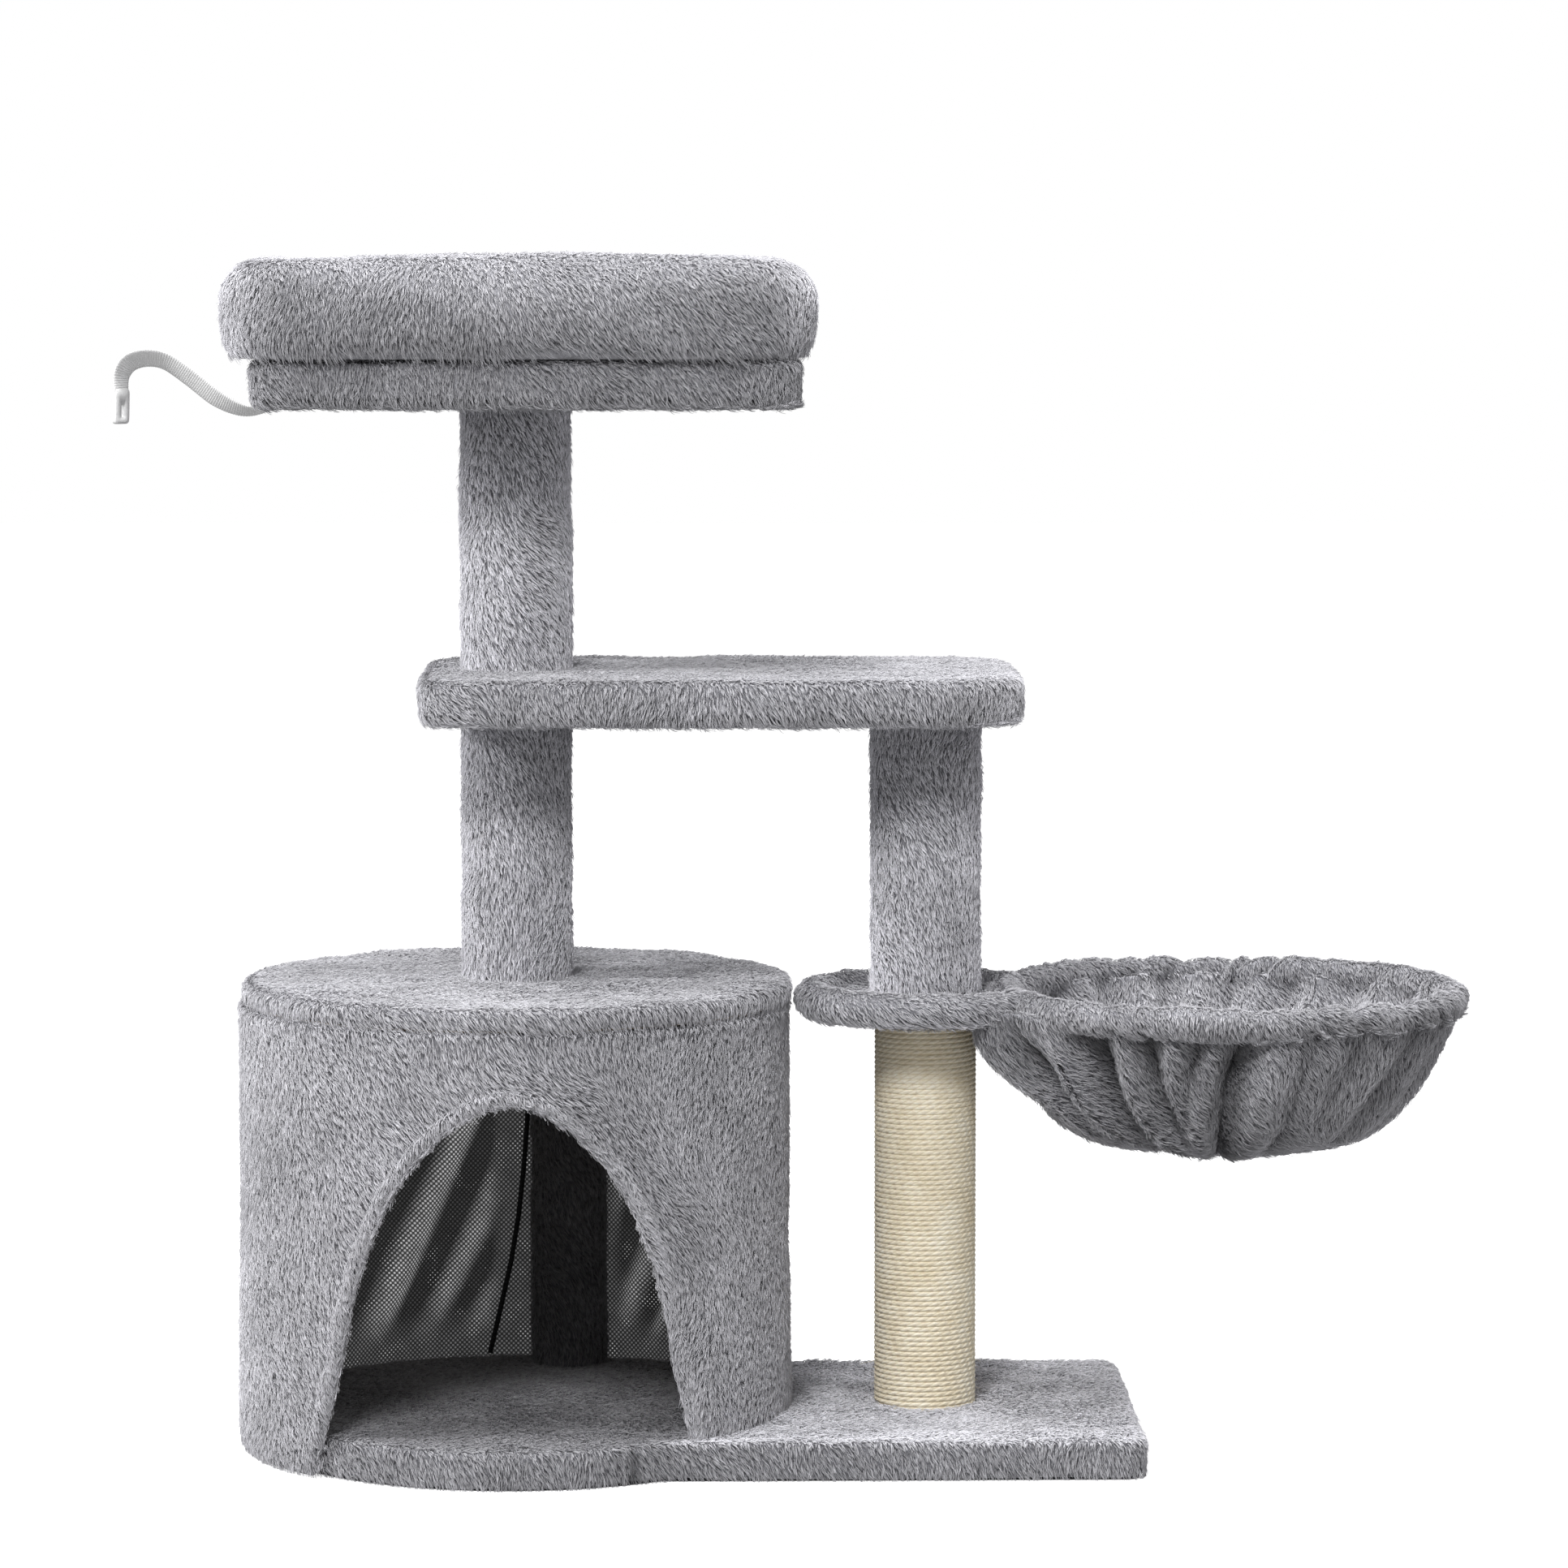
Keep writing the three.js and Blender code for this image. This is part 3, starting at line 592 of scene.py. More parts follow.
def grow_pile(piece, seed, keep=None, density=1.0, length=1.0, rise=PILE_RISE, finish=PILE, painted_light=EVEN_PAINTED_LIGHT):
    """Grows hair on the part of a piece that `keep` accepts, and ties it to the piece."""
    mesh = piece.data
    points, normal, corner = coordinates(mesh), normals(mesh), triangles(mesh)
    a, b, c = (points[corner[:, k]] for k in range(3))
    facing = np.cross(b - a, c - a)
    area = 0.5 * np.linalg.norm(facing, axis=1)
    if keep is not None:
        area = area * keep((a + b + c) / 3, unit(facing))
        rise = rise * keep(points, normal)[:, None]
    points = points - normal * rise
    move_points(mesh, points)
    count = int(area.sum() * PILE_DENSITY * density)
    rng = random(seed)
    chosen = rng.choice(len(area), count, p=area / area.sum())
    u, v = np.sqrt(rng.random(count)), rng.random(count)
    weights = np.stack([1 - u, u * (1 - v), u * v], axis=1)
    root = (points[corner[chosen]] * weights[:, :, None]).sum(1)
    up = unit((normal[corner[chosen]] * weights[:, :, None]).sum(1))
    number, tufts = tuft_numbers(root, seed)
    # On level faces the pile is shorter and lies more ways
    level = np.clip(up[:, 2], 0, 1) ** 2
    turn = rng.normal(size=tufts)[number, None] * (0.16 + 0.4 * level[:, None])
    lean = lie_down(root, up, seed)
    lean = unit(lean * np.cos(turn) + np.cross(up, lean) * np.sin(turn) + 0.12 * rng.normal(size=lean.shape))
    reach = PILE_LENGTH * length * (1 - 0.35 * level) * rng.uniform(0.8, 1.15, tufts)[number]
    # Hair on lower edges is left longer, as a fringe
    reach = (reach * rng.uniform(0.85, 1.1, count) * (1 + 0.5 * np.clip(-up[:, 2], 0, 1)))[:, None]
    bends = [root + reach * (out * up + along * lean) for out, along in HAIR_SHAPE]
    strands = np.stack([root - ROOT_DEPTH * up, *bends], axis=1)
    in_tufts(strands, number, tufts)
    hair = tied_hair(piece.name + "_pile", strands, HAIR_RADII, finish, piece)
    # Each hair's tone is its piece's painted light plus the random tone of its tuft
    tufted = 0.16 * (1 - rng.random(tufts)[number] ** 2 * 1.5) * (1 - 0.5 * level)
    set_attribute(hair, "tuft", "CURVE", painted_light(root, up, level) + tufted)


# ---------------------------------------------------------------- curves and outlines
def spline(points, steps):
    """A smooth line through given points, `steps` points for each stretch."""
    points = np.asarray(points, float)
    ends = np.concatenate([2 * points[:1] - points[1:2], points, 2 * points[-1:] - points[-2:-1]])
    t = np.linspace(0, 1, steps, endpoint=False)[:, None]
    line = [
        0.5 * ((2 * b) + (c - a) * t + (2 * a - 5 * b + 4 * c - d) * t**2 + (3 * b - a - 3 * c + d) * t**3)
        for a, b, c, d in zip(ends, ends[1:], ends[2:], ends[3:])
    ]
    return np.concatenate(line + [points[-1:]])


def evenly(line, step):
    """The same line with its points `step` apart."""
    lengths = np.concatenate([[0], np.cumsum(np.linalg.norm(np.diff(line, axis=0), axis=1))])
    places = np.linspace(0, lengths[-1], max(2, round(lengths[-1] / step) + 1))
    return np.stack([np.interp(places, lengths, line[:, k]) for k in range(line.shape[1])], axis=1)


def arc(x, y, radius, start, end, steps=24):
    angle = np.radians(np.linspace(start, end, steps + 1))
    return np.stack([x + radius * np.cos(angle), y + radius * np.sin(angle)], axis=1)


def rounded_rectangle(low, high, left, right):
    """A level rectangle's outline, with one corner radius for its left side and one for its right."""
    return np.concatenate(
        [
            arc(high.x - right, low.y + right, right, -90, 0),
            arc(high.x - right, high.y - right, right, 0, 90),
            arc(low.x + left, high.y - left, left, 90, 180),
            arc(low.x + left, low.y + left, left, 180, 270),
        ]
    )


# ---------------------------------------------------------------- plush pieces
PLUSH = plush_material("plush")
PLUSH_FLAT = plush_material("plush_flat", stretch=(1.0, 0.3, 1.0))
BASE_HALF_DEPTH = 0.147
BASE_CORNER = 0.014
BASE_FOOT = 0.0006  # how far the base's cover stays off the floor
CREASE_X = -0.039  # a fold in the base's front edge, where the round part begins


def soft_slab(name, outline, low, high, material, voxel=0.003, rounding=7):
    """A covered panel: its outline raised to a slab, remeshed evenly and worn round at the edges."""
    count = len(outline)
    points = [(x, y, low) for x, y in outline] + [(x, y, high) for x, y in outline]
    sides = [(i, (i + 1) % count, count + (i + 1) % count, count + i) for i in range(count)]
    bottom, top = tuple(reversed(range(count))), tuple(range(count, 2 * count))
    piece = mesh_object(name, points, [bottom, top, *sides], material)
    remeshed(piece, voxel, rounding)
    return piece


def above(height):
    """Grows pile everywhere but on the underside below a height."""
    return lambda points, facing: ~((facing[:, 2] < -0.6) & (points[:, 2] < height))


def in_crease(points, width):
    """1 on the line of the base's crease at its front edge, and 0 away from it."""
    return np.exp(-(((points[:, 0] - CREASE_X) / width) ** 2)) * smooth_step(-points[:, 1], 0.12, 0.155)


def base_cover():
    """The keyhole: a circle under the condo and a rectangle to its right."""
    low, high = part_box("base_plush_cover")
    middle = round_box("condo_wall")[2]
    radius = (high.y - low.y) / 2
    meets = math.degrees(math.asin(BASE_HALF_DEPTH / radius))
    corner_x, corner_y = high.x - BASE_CORNER, BASE_HALF_DEPTH - BASE_CORNER
    keyhole = np.concatenate(
        [
            arc(middle.x, 0, radius, meets, 360 - meets, 90),
            arc(corner_x, -corner_y, BASE_CORNER, -90, 0, 8),
            arc(corner_x, corner_y, BASE_CORNER, 0, 90, 8),
        ]
    )
    base = soft_slab("base_cover", keyhole, BASE_FOOT, high.z + 0.0005, PLUSH_FLAT, rounding=13)
    settle(base, "root", "base_plush_cover")
    lump(base, 0.0008, 0.03, 1)
    points = coordinates(base.data)
    points[:, 1] += 0.0026 * in_crease(points, 0.004)
    move_points(base.data, points)
    stand_on(base, BASE_FOOT)

    def base_painted_light(root, up, level):
        """Painted light and shade: lighter on level faces, with painted shade inside the condo and in the
        front edge's crease.
        """
        indoor_painted_shade = smooth_step(-np.hypot(root[:, 0] - middle.x, root[:, 1]), -0.180, -0.165)
        crease_painted_shade = in_crease(root, 0.0035)
        return 0.29 + 0.44 * level - 0.60 * indoor_painted_shade * level - 0.5 * crease_painted_shade * (1 - level)

    grow_pile(base, 11, above(0.006), painted_light=base_painted_light)


def upper_covers():
    """The covers of the condo's roof, the shelf and the perch."""
    low, high, _, radius = round_box("roof_plush_cover")
    disc = arc(round_box("condo_wall")[2].x, 0, radius, 0, 360, 119)[:-1]
    roof = soft_slab("roof_cover", disc, low.z, high.z + 0.001, PLUSH_FLAT, rounding=16)
    settle(roof, "root", "roof_plush_cover")
    lump(roof, 0.0010, 0.035, 2)
    # Each pile's two numbers are its painted light on upright and on level faces
    grow_pile(roof, 12, above(0.4), painted_light=painted_light_levels(0.43, 0.44))

    low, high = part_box("shelf_plush_cover")
    outline = rounded_rectangle(low, high, 0.035, 0.06)
    shelf = soft_slab("shelf_cover", outline, low.z - 0.0005, high.z + 0.0005, PLUSH_FLAT, rounding=20)
    settle(shelf, "root", "shelf_plush_cover")
    lump(shelf, 0.0008, 0.03, 3)
    grow_pile(shelf, 13, painted_light=painted_light_levels(0.41, 0.42))

    low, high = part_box("perch_plush_cover")
    outline = rounded_rectangle(low, high, 0.032, 0.032)
    perch = soft_slab("perch_cover", outline, low.z - 0.0005, high.z + 0.0015, PLUSH, rounding=18)
    settle(perch, "root", "perch_plush_cover")
    lump(perch, 0.0009, 0.03, 4)
    # The perch's pile is darker, most on top: painted shade under the bolster
    grow_pile(perch, 14, painted_light=painted_light_levels(0.20, 0.15))


COLUMN_STEP = 0.0028
SEAM_DEPTH = 0.0022


def on_sides(points, facing):
    """Grows pile on a sleeve's side and not on its ends."""
    return abs(facing[:, 2]) < 0.7


def soft_column(name, node, seed, shade, density=1.0, skin=PLUSH, finish=PILE):
    """A plush sleeve: an upright tube's skin with a sewn seam down its back."""
    low, high, centre, radius = round_box(node)
    rows, columns = round((high.z - low.z) / COLUMN_STEP), 84
    turn, z = np.meshgrid(full_turn(columns), np.linspace(low.z, high.z, rows))
    seam = np.exp(-(((turn - math.pi / 2) / 0.05) ** 2))
    reach = radius - SEAM_DEPTH * seam
    grid = np.stack([centre.x + reach * np.cos(turn), centre.y + reach * np.sin(turn), z], axis=-1)
    ends = [(centre.x, centre.y, low.z), (centre.x, centre.y, high.z)]
    points = np.concatenate([grid.reshape(-1, 3), ends])
    piece = mesh_object(name, points, capped_grid(rows, columns), skin)
    lump(piece, 0.0008, 0.028, seed)
    settle(piece, "root", node)
    # `shade` is the sleeve's painted light, the same all over the sleeve
    grow_pile(piece, seed, on_sides, density=density, finish=finish, painted_light=painted_light_levels(shade, shade))


def sleeves():
    """The plush round the posts, each with its painted light, and the poles inside the condo, whose plush and
    pile are darker copies as painted shade.
    """
    # Each number is that sleeve's painted light
    soft_column("main_post_upper_sleeve", "main_post_upper_plush_sleeve", 21, 0.85)
    soft_column("main_post_lower_sleeve", "main_post_lower_plush_sleeve", 22, 0.67)
    soft_column("right_post_sleeve", "right_post_plush_sleeve", 23, 0.83)
    # The poles' darker plush and pile are painted shade inside the condo
    skin, finish = plush_material("pole_plush_painted_shade", light=0.36), hair_material("pole_pile", light=0.36)
    painted_shade = {"skin": skin, "finish": finish}
    soft_column("pole_back_sleeve", "inner_pole_back_plush", 24, 0.50, density=0.7, **painted_shade)
    soft_column("pole_left_sleeve", "inner_pole_left_plush", 25, 0.50, density=0.5, **painted_shade)
    soft_column("pole_right_sleeve", "inner_pole_right_plush", 26, 0.50, density=0.5, **painted_shade)


# ---------------------------------------------------------------- condo wall and door
DOOR_HALF_ANGLE = math.radians(42.8)
DOOR_TOP = 0.259
LEFT_FLARE = 0.055  # how much wider the door is at its left foot than at its right
# The door's edge: part of its half angle, part of its height
DOOR_EDGE = [(1, 0), (0.9, 0.22), (0.77, 0.52), (0.585, 0.75), (0.36, 0.905), (0.12, 0.993)]
# Between these angles the sleeve hangs down past the base's edge to the floor
SKIRT_FROM, SKIRT_TO = 57.0, 226.6
SEAM_DEGREES = 91.0
WALL_SHIFT = 0.0022  # the sleeve sits a little to the left on its boards
WALL_THICKNESS = 0.0058
POLE_DEGREES = (0.0, 77.5, 180.0)
FOLD_SPACING = 0.044  # of the folds in the wall's woven side


def door_line():
    """(angle from the front, height) along the door's edge, from its left foot to its right foot."""
    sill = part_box("base_plush_cover")[1].z - 0.003
    right = [(part * DOOR_HALF_ANGLE, sill + rise * (DOOR_TOP - sill)) for part, rise in DOOR_EDGE]
    left = [
        (-angle * (1 + LEFT_FLARE * (1 - rise)), height)
        for (angle, height), (_, rise) in zip(right, DOOR_EDGE)
    ]
    return spline(left + right[::-1], 24)


def around(centre, radius, front_angle, height):
    """Points on an upright cylinder, with angles measured from its front."""
    x = centre.x + radius * np.sin(front_angle)
    y = centre.y - radius * np.cos(front_angle)
    return np.stack([x, y, height + 0 * front_angle], axis=-1)


def in_door(edge, front, z):
    """Whether each point of the wall is in the door's opening."""
    left, right = edge[: len(edge) // 2], edge[len(edge) // 2 :][::-1]
    from_left = np.interp(z, left[:, 1], left[:, 0], left=left[0, 0], right=1)
    to_right = np.interp(z, right[:, 1], right[:, 0], left=right[0, 0], right=-1)
    return (front + 0 * z > from_left) & (front + 0 * z < to_right)


def wall_skin(low, high, centre, radius, edge):
    """The sleeve with its door cut out: plush outside, weave inside."""
    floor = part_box("base_plush_cover")[1].z
    rows, columns = 100, 400
    turn = math.radians(SEAM_DEGREES + 90) + full_turn(columns)
    degrees = (np.degrees(turn) - 90) % 360
    skirt = smooth_step(degrees, SKIRT_FROM - 1.5, SKIRT_FROM + 2)
    skirt *= smooth_step(-degrees, -SKIRT_TO - 1, -SKIRT_TO + 2)
    bottom = floor + 0.0006 + skirt * (low.z - floor)
    z = bottom + np.linspace(0, 1, rows)[:, None] * (high.z - bottom)
    tucked = 0.004 * skirt * smooth_step(0.010 - z, 0, 0.010)
    spread = radius + 0.0016 * smooth_step(0.2 - z, 0.0, 0.2) - tucked
    grid = around(centre, spread, turn + 0 * z, z)
    open_here = in_door(edge, wrapped(turn), z).ravel()
    faces = [face for face in grid_faces(rows, columns) if not open_here[list(face)].all()]
    wall = mesh_object("condo_sleeve", grid.reshape(-1, 3), faces, PLUSH, weave_material())
    first = wall.data.polygons[0]
    thickness = wall.modifiers.new("thickness", "SOLIDIFY")
    thickness.thickness = WALL_THICKNESS
    thickness.offset = -1.0 if first.normal.dot(first.center - centre) > 0 else 1.0
    thickness.material_offset = 1
    thickness.material_offset_rim = 0
    apply_modifiers(wall)
    remove_loose(wall.data)
    return wall


def fold_weave(wall, centre, radius):
    """Draws the woven side in slanting folds, and stores where each point is on the cloth and how near a fold
    crest it is, for the weave's painted highlight and glow.
    """
    points = coordinates(wall.data)
    offset = points - np.array([centre.x, centre.y, 0])
    reach = np.linalg.norm(offset[:, :2], axis=1)
    inside = reach < radius - 0.0035
    angle = np.arctan2(offset[:, 1], offset[:, 0])
    from_seam = wrapped(angle - math.radians(SEAM_DEGREES))
    cloth = np.stack([from_seam * radius, points[:, 2], 0.5 + 0 * angle], axis=1)
    # Folds run aslant; noise stretched along them keeps each one whole
    slant = cloth[:, 0] + 0.55 * points[:, 2]
    drawn = np.stack([slant, 0.18 * points[:, 2], 0 * slant], axis=1)
    fold = 0.5 + 0.5 * np.sin(slant * 2 * math.pi / FOLD_SPACING + 2.6 * noise(drawn, 0.06, 5))
    fold = fold**1.5 * (0.85 + 0.35 * noise(drawn, 0.035, 8)) + 0.10 * noise(drawn, 0.010, 6)
    calm = smooth_step(abs(from_seam), 0.05, 0.14) * smooth_step(points[:, 2], 0.03, 0.08)
    calm *= smooth_step(-points[:, 2], -0.292, -0.25) * smooth_step(np.sin(angle), -0.35, 0.1)
    for pole in POLE_DEGREES:
        calm *= smooth_step(abs(wrapped(angle - math.radians(pole))), 0.13, 0.26)
    # The third value is the fold crest, where the weave's painted highlight and glow are brightest
    cloth[:, 2] = np.clip(0.3 + calm * (fold - 0.3), 0, 1)
    depth = np.where(inside, 0.0085 * fold * calm, 0.0009 * noise(points, 0.035, 7))
    radial = np.concatenate([offset[:, :2] / reach[:, None], np.zeros((len(points), 1))], axis=1)
    move_points(wall.data, points + radial * (np.where(inside, -depth, depth))[:, None])
    set_attribute(wall.data, "cloth", "POINT", cloth)


def condo_wall():
    low, high, centre, radius = round_box("condo_wall")
    centre.x -= WALL_SHIFT
    edge = door_line()
    wall = wall_skin(low, high, centre, radius, edge)
    fold_weave(wall, centre, radius)
    settle(wall, "root", "condo_wall")

    def outer_side(place, facing):
        away = place - np.array([centre.x, centre.y, 0])
        return (np.linalg.norm(away[:, :2], axis=1) > radius - 0.003) & (place[:, 2] > 0.004)

    # The wall's and the hem's piles get an even painted light
    grow_pile(wall, 31, outer_side, painted_light=painted_light_levels(0.43, 0.43))

    path = evenly(around(centre, radius - WALL_THICKNESS / 2, edge[:, 0], edge[:, 1]), 0.0025)
    hem = swept_tube("door_hem", path, 0.0046, 14, 0.0006, 32)
    settle(hem, "root", "condo_door_hem")
    grow_pile(hem, 33, density=0.9, length=0.95, painted_light=painted_light_levels(0.45, 0.45))


def remove_loose(mesh):
    """Drops the points that the door's missing faces leave behind."""
    used = np.zeros(len(mesh.vertices), bool)
    corners = np.empty(len(mesh.loops), dtype=np.int64)
    mesh.loops.foreach_get("vertex_index", corners)
    used[corners] = True
    if used.all():
        return
    work = bmesh.new()
    work.from_mesh(mesh)
    bmesh.ops.delete(work, geom=[v for v in work.verts if not v.link_faces], context="VERTS")
    work.to_mesh(mesh)
    work.free()


def frames_along(path):
    """Two steady directions across a path at each of its points."""
    tangent = unit(np.gradient(path, axis=0))
    side = np.cross(tangent[0], (0.3, 0.2, 1.0))
    sides = []
    for direction in tangent:
        side = side - direction * (side @ direction)
        side = side / np.linalg.norm(side)
        sides.append(side)
    sides = np.array(sides)
    return sides, np.cross(tangent, sides)


def tube_along(name, path, side, other, radius, angle, material):
    """A tube closed at both ends, its rings at the given angles from `side` to `other`."""
    ring = side[:, None] * np.cos(angle)[:, None] + other[:, None] * np.sin(angle)[:, None]
    grid = path[:, None] + radius * ring
    points = np.concatenate([grid.reshape(-1, 3), path[:1], path[-1:]])
    piece = mesh_object(name, points, capped_grid(len(path), len(angle)), material)
    outward(piece)
    return piece


def swept_tube(name, path, radius, columns, height, seed):
    """A soft plush tube along a path, its surface uneven by `height`."""
    side, other = frames_along(path)
    piece = tube_along(name, path, side, other, radius, full_turn(columns), PLUSH)
    lump(piece, height, 0.012, seed)
    return piece


def outward(piece):
    """Turns every face of a closed piece outwards."""
    work = bmesh.new()
    work.from_mesh(piece.data)
    bmesh.ops.recalc_face_normals(work, faces=work.faces)
    work.to_mesh(piece.data)
    work.free()
    piece.data.shade_smooth()


# ---------------------------------------------------------------- sisal rope
ROPE_PITCH = 0.00342
ROPE_RADIUS = ROPE_PITCH * 0.57  # more than half the pitch, so the turns press together
ROPE_STRANDS = 3
ROPE_LAY = 0.019  # length of rope in which its strands go round once
LOOSE_FIBRES = 1500
FIBRE_RADII = (0.00009, 0.00007, 0.00004)


def sisal_post():
    """One rope of three twisted strands wound round the tube, with a few loose fibres."""
    low, high, centre, outer = round_box("sisal_post_rope")
    turns = (high.z - low.z - 2 * ROPE_RADIUS) / ROPE_PITCH
    turn = np.linspace(0, turns * 2 * math.pi, int(turns * 84))
    winding = outer - ROPE_RADIUS
    out = spokes(turn)
    path = np.array([centre.x, centre.y, low.z + ROPE_RADIUS]) + winding * out
    path[:, 2] += turn / (2 * math.pi) * ROPE_PITCH
    path[:, 2] += 0.00018 * noise(path, 0.02, 3)
    across = unit(np.cross(np.gradient(path, axis=0), out))
    angle = np.linspace(-math.pi, math.pi, 10, endpoint=False)
    rope = tube_along("sisal_rope", path, out, across, ROPE_RADIUS, angle, sisal_material())
    # Which strand each point is on, as a number that grows along the rope and round it
    strand = ROPE_STRANDS * (angle[None, :] / (2 * math.pi) + (turn * winding / ROPE_LAY)[:, None])
    set_attribute(rope.data, "strands", "POINT", np.concatenate([strand.ravel(), [0, 0]]))
    settle(rope, "root", "sisal_post_rope")

    rng, count = random(41), LOOSE_FIBRES
    turn, height = rng.uniform(0, 2 * math.pi, count), rng.uniform(low.z + 0.01, high.z - 0.004, count)
    away = spokes(turn)
    start = np.array([centre.x, centre.y, 0]) + away * (outer - 0.0006)
    start[:, 2] = height
    drift = np.cross(away, (0, 0, 1)) * rng.normal(size=(count, 1)) + rng.normal(size=(count, 3)) * 0.4
    reach = rng.uniform(0.002, 0.0055, (count, 1))
    bends = [start + reach * (0.35 * away + 0.5 * drift), start + reach * (0.5 * away + 1.1 * drift)]
    finish = speckled_material("sisal_fibre", (0.7, 0.6, 0.4), (0.9, 0.83, 0.66), 300.0, 0.8)
    tied_hair("loose_fibres", np.stack([start, *bends], axis=1), FIBRE_RADII, finish, rope)


# ---------------------------------------------------------------- bed
BOLSTER_THICK, BOLSTER_CORNER = 0.030, 0.034
BOLSTER_SLACK = 0.0015  # what the filling makes up
FOOT_POWER, CROWN_POWER = 2 / 5.5, 2 / 3.1  # the section is nearly square below and rounder above
FOOT_PRESS = 0.003  # how far the bolster would reach into the perch, if it weren't pressed flat
CUSHION_TUCK = 0.005  # how far the cushion's edge is tucked under the bolster


def bolster():
    """A stuffed roll bent to a rounded rectangle. It is made a little slack, then filled as cloth."""
    low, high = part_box("bed_bolster")
    inset = Vector((BOLSTER_THICK, BOLSTER_THICK, 0))
    outline = rounded_rectangle(low + inset, high - inset, BOLSTER_CORNER, BOLSTER_CORNER)
    path = evenly(np.concatenate([outline, outline[:1]]), 0.005)[:-1]
    middle_z, half_z = (low.z + high.z) / 2, (high.z - low.z) / 2
    tangent = unit(np.roll(path, -1, axis=0) - np.roll(path, 1, axis=0))
    away = np.stack([tangent[:, 1], -tangent[:, 0], 0 * tangent[:, 0]], axis=1)
    angle = full_turn(44)
    power = np.where(np.sin(angle) < 0, FOOT_POWER, CROWN_POWER)
    across = np.sign(np.cos(angle)) * abs(np.cos(angle)) ** power
    height = np.sign(np.sin(angle)) * abs(np.sin(angle)) ** power
    base = np.stack([path[:, 0], path[:, 1], 0 * path[:, 0] + middle_z], axis=1)
    swell = 1 + 0.05 * noise(base, 0.08, 51)
    # The foot is drawn in to the perch it sits on and pressed flat, and the two ends are rounder
    end = away[:, :1] ** 2
    foot = 1 - (np.where(height < 0, 0.05, 0.0) + np.where(height < 0, 0.30, 0.24) * end) * abs(height) ** 3
    bulge = across * foot * ((BOLSTER_THICK - BOLSTER_SLACK) * swell)[:, None]
    rise = height[None, :] * (half_z * (1 + 0.04 * noise(base, 0.07, 52)))[:, None]
    grid = base[:, None] + away[:, None] * bulge[..., None]
    grid[..., 2] += rise - FOOT_PRESS * (height < 0) * abs(height)
    faces = grid_faces(len(path), len(angle), close_rows=True)
    piece = mesh_object("bolster", grid.reshape(-1, 3), faces, PLUSH)
    outward(piece)
    remeshed(piece, 0.0055, 2)
    inflate(piece, pressure=4.0, cap=0.004)
    lump(piece, 0.0018, 0.07, 53)
    stand_on(piece, low.z + 0.0005)
    settle(piece, "top_bed", "bed_bolster")

    def bolster_painted_light(root, up, level):
        """Painted light: lighter on level faces and much lighter at the two ends, where the light falls on
        them.
        """
        return 0.22 + 0.16 * level + 0.34 * smooth_step(abs(up[:, 0]), 0.35, 0.85)

    grow_pile(piece, 54, above(low.z + 0.01), painted_light=bolster_painted_light)


def cushion():
    """The bed's floor pad, made thin and filled as cloth, so that it crowns between its edges."""
    low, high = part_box("bed_cushion")
    tuck = Vector((CUSHION_TUCK, CUSHION_TUCK, 0))
    outline = rounded_rectangle(low - tuck, high + tuck, 0.010, 0.010)
    piece = soft_slab("cushion", outline, low.z, high.z - 0.006, PLUSH_FLAT, voxel=0.006, rounding=3)
    inflate(piece, pressure=3.0, cap=0.009)
    lump(piece, 0.0010, 0.05, 55)
    stand_on(piece, low.z)
    settle(piece, "top_bed", "bed_cushion")
    grow_pile(piece, 56, lambda place, facing: facing[:, 2] > 0.2)


# ---------------------------------------------------------------- hammock
LOOP_RADIUS = 0.076
RIM_PLEATS, RIM_GATHERS = 35, 73  # the rim sleeve's deep creases and its fine ones
# The bowl's outline, from its lowest point to the rim: radius, height
BOWL = [
    (0, 0), (0.030, 0.0005), (0.058, 0.0025), (0.080, 0.0065), (0.097, 0.013), (0.112, 0.024),
    (0.126, 0.040), (0.137, 0.058), (0.145, 0.078), (0.149, 0.094),
]
FOLD_DEPTH = 0.030
# The bowl's folds: degrees round the ring at the rim and at the foot, depth, where it ends, half width
CREASES = [
    (207, 226, 0.80, 0.20, 9), (227, 238, 1.25, 0.14, 11), (243, 256, 0.95, 0.36, 8),
    (257, 250, 0.62, 0.52, 8), (268, 261, 1.10, 0.06, 9), (287, 285, 0.30, 0.15, 9),
    (301, 292, 0.30, 0.55, 12), (320, 306, 0.34, 0.38, 9), (338, 330, 0.20, 0.40, 8),
    (354, 350, 0.25, 0.45, 9), (14, 10, 0.40, 0.30, 10), (36, 40, 0.55, 0.25, 10),
    (57, 60, 0.70, 0.35, 10), (76, 72, 0.55, 0.20, 9), (93, 98, 0.85, 0.25, 11),
    (112, 106, 0.90, 0.30, 11), (131, 136, 0.70, 0.25, 10), (151, 148, 0.60, 0.30, 9),
    (186, 190, 0.35, 0.40, 8),
]
BOWL_FOOT = 0.002  # how far the bowl's lowest point is above its CAD box's
BOWL_CLOTH = 0.0032


def lobes(turn, creases):
    """0 in each crease to 1 at the middle of the puff between two creases, and that puff's number."""
    turn = turn % (2 * math.pi)
    edges = np.concatenate([creases[-1:] - 2 * math.pi, creases, creases[:1] + 2 * math.pi])
    puff = np.searchsorted(edges, turn, side="right") - 1
    low, high = edges[puff], edges[puff + 1]
    part = abs(2 * (turn - low) / (high - low) - 1)
    return 1 - part**1.9, puff % len(creases)


def crease_angles(count, seed):
    rng = random(seed)
    return (np.arange(count) + 0.5 + rng.uniform(-0.46, 0.46, count)) * 2 * math.pi / count


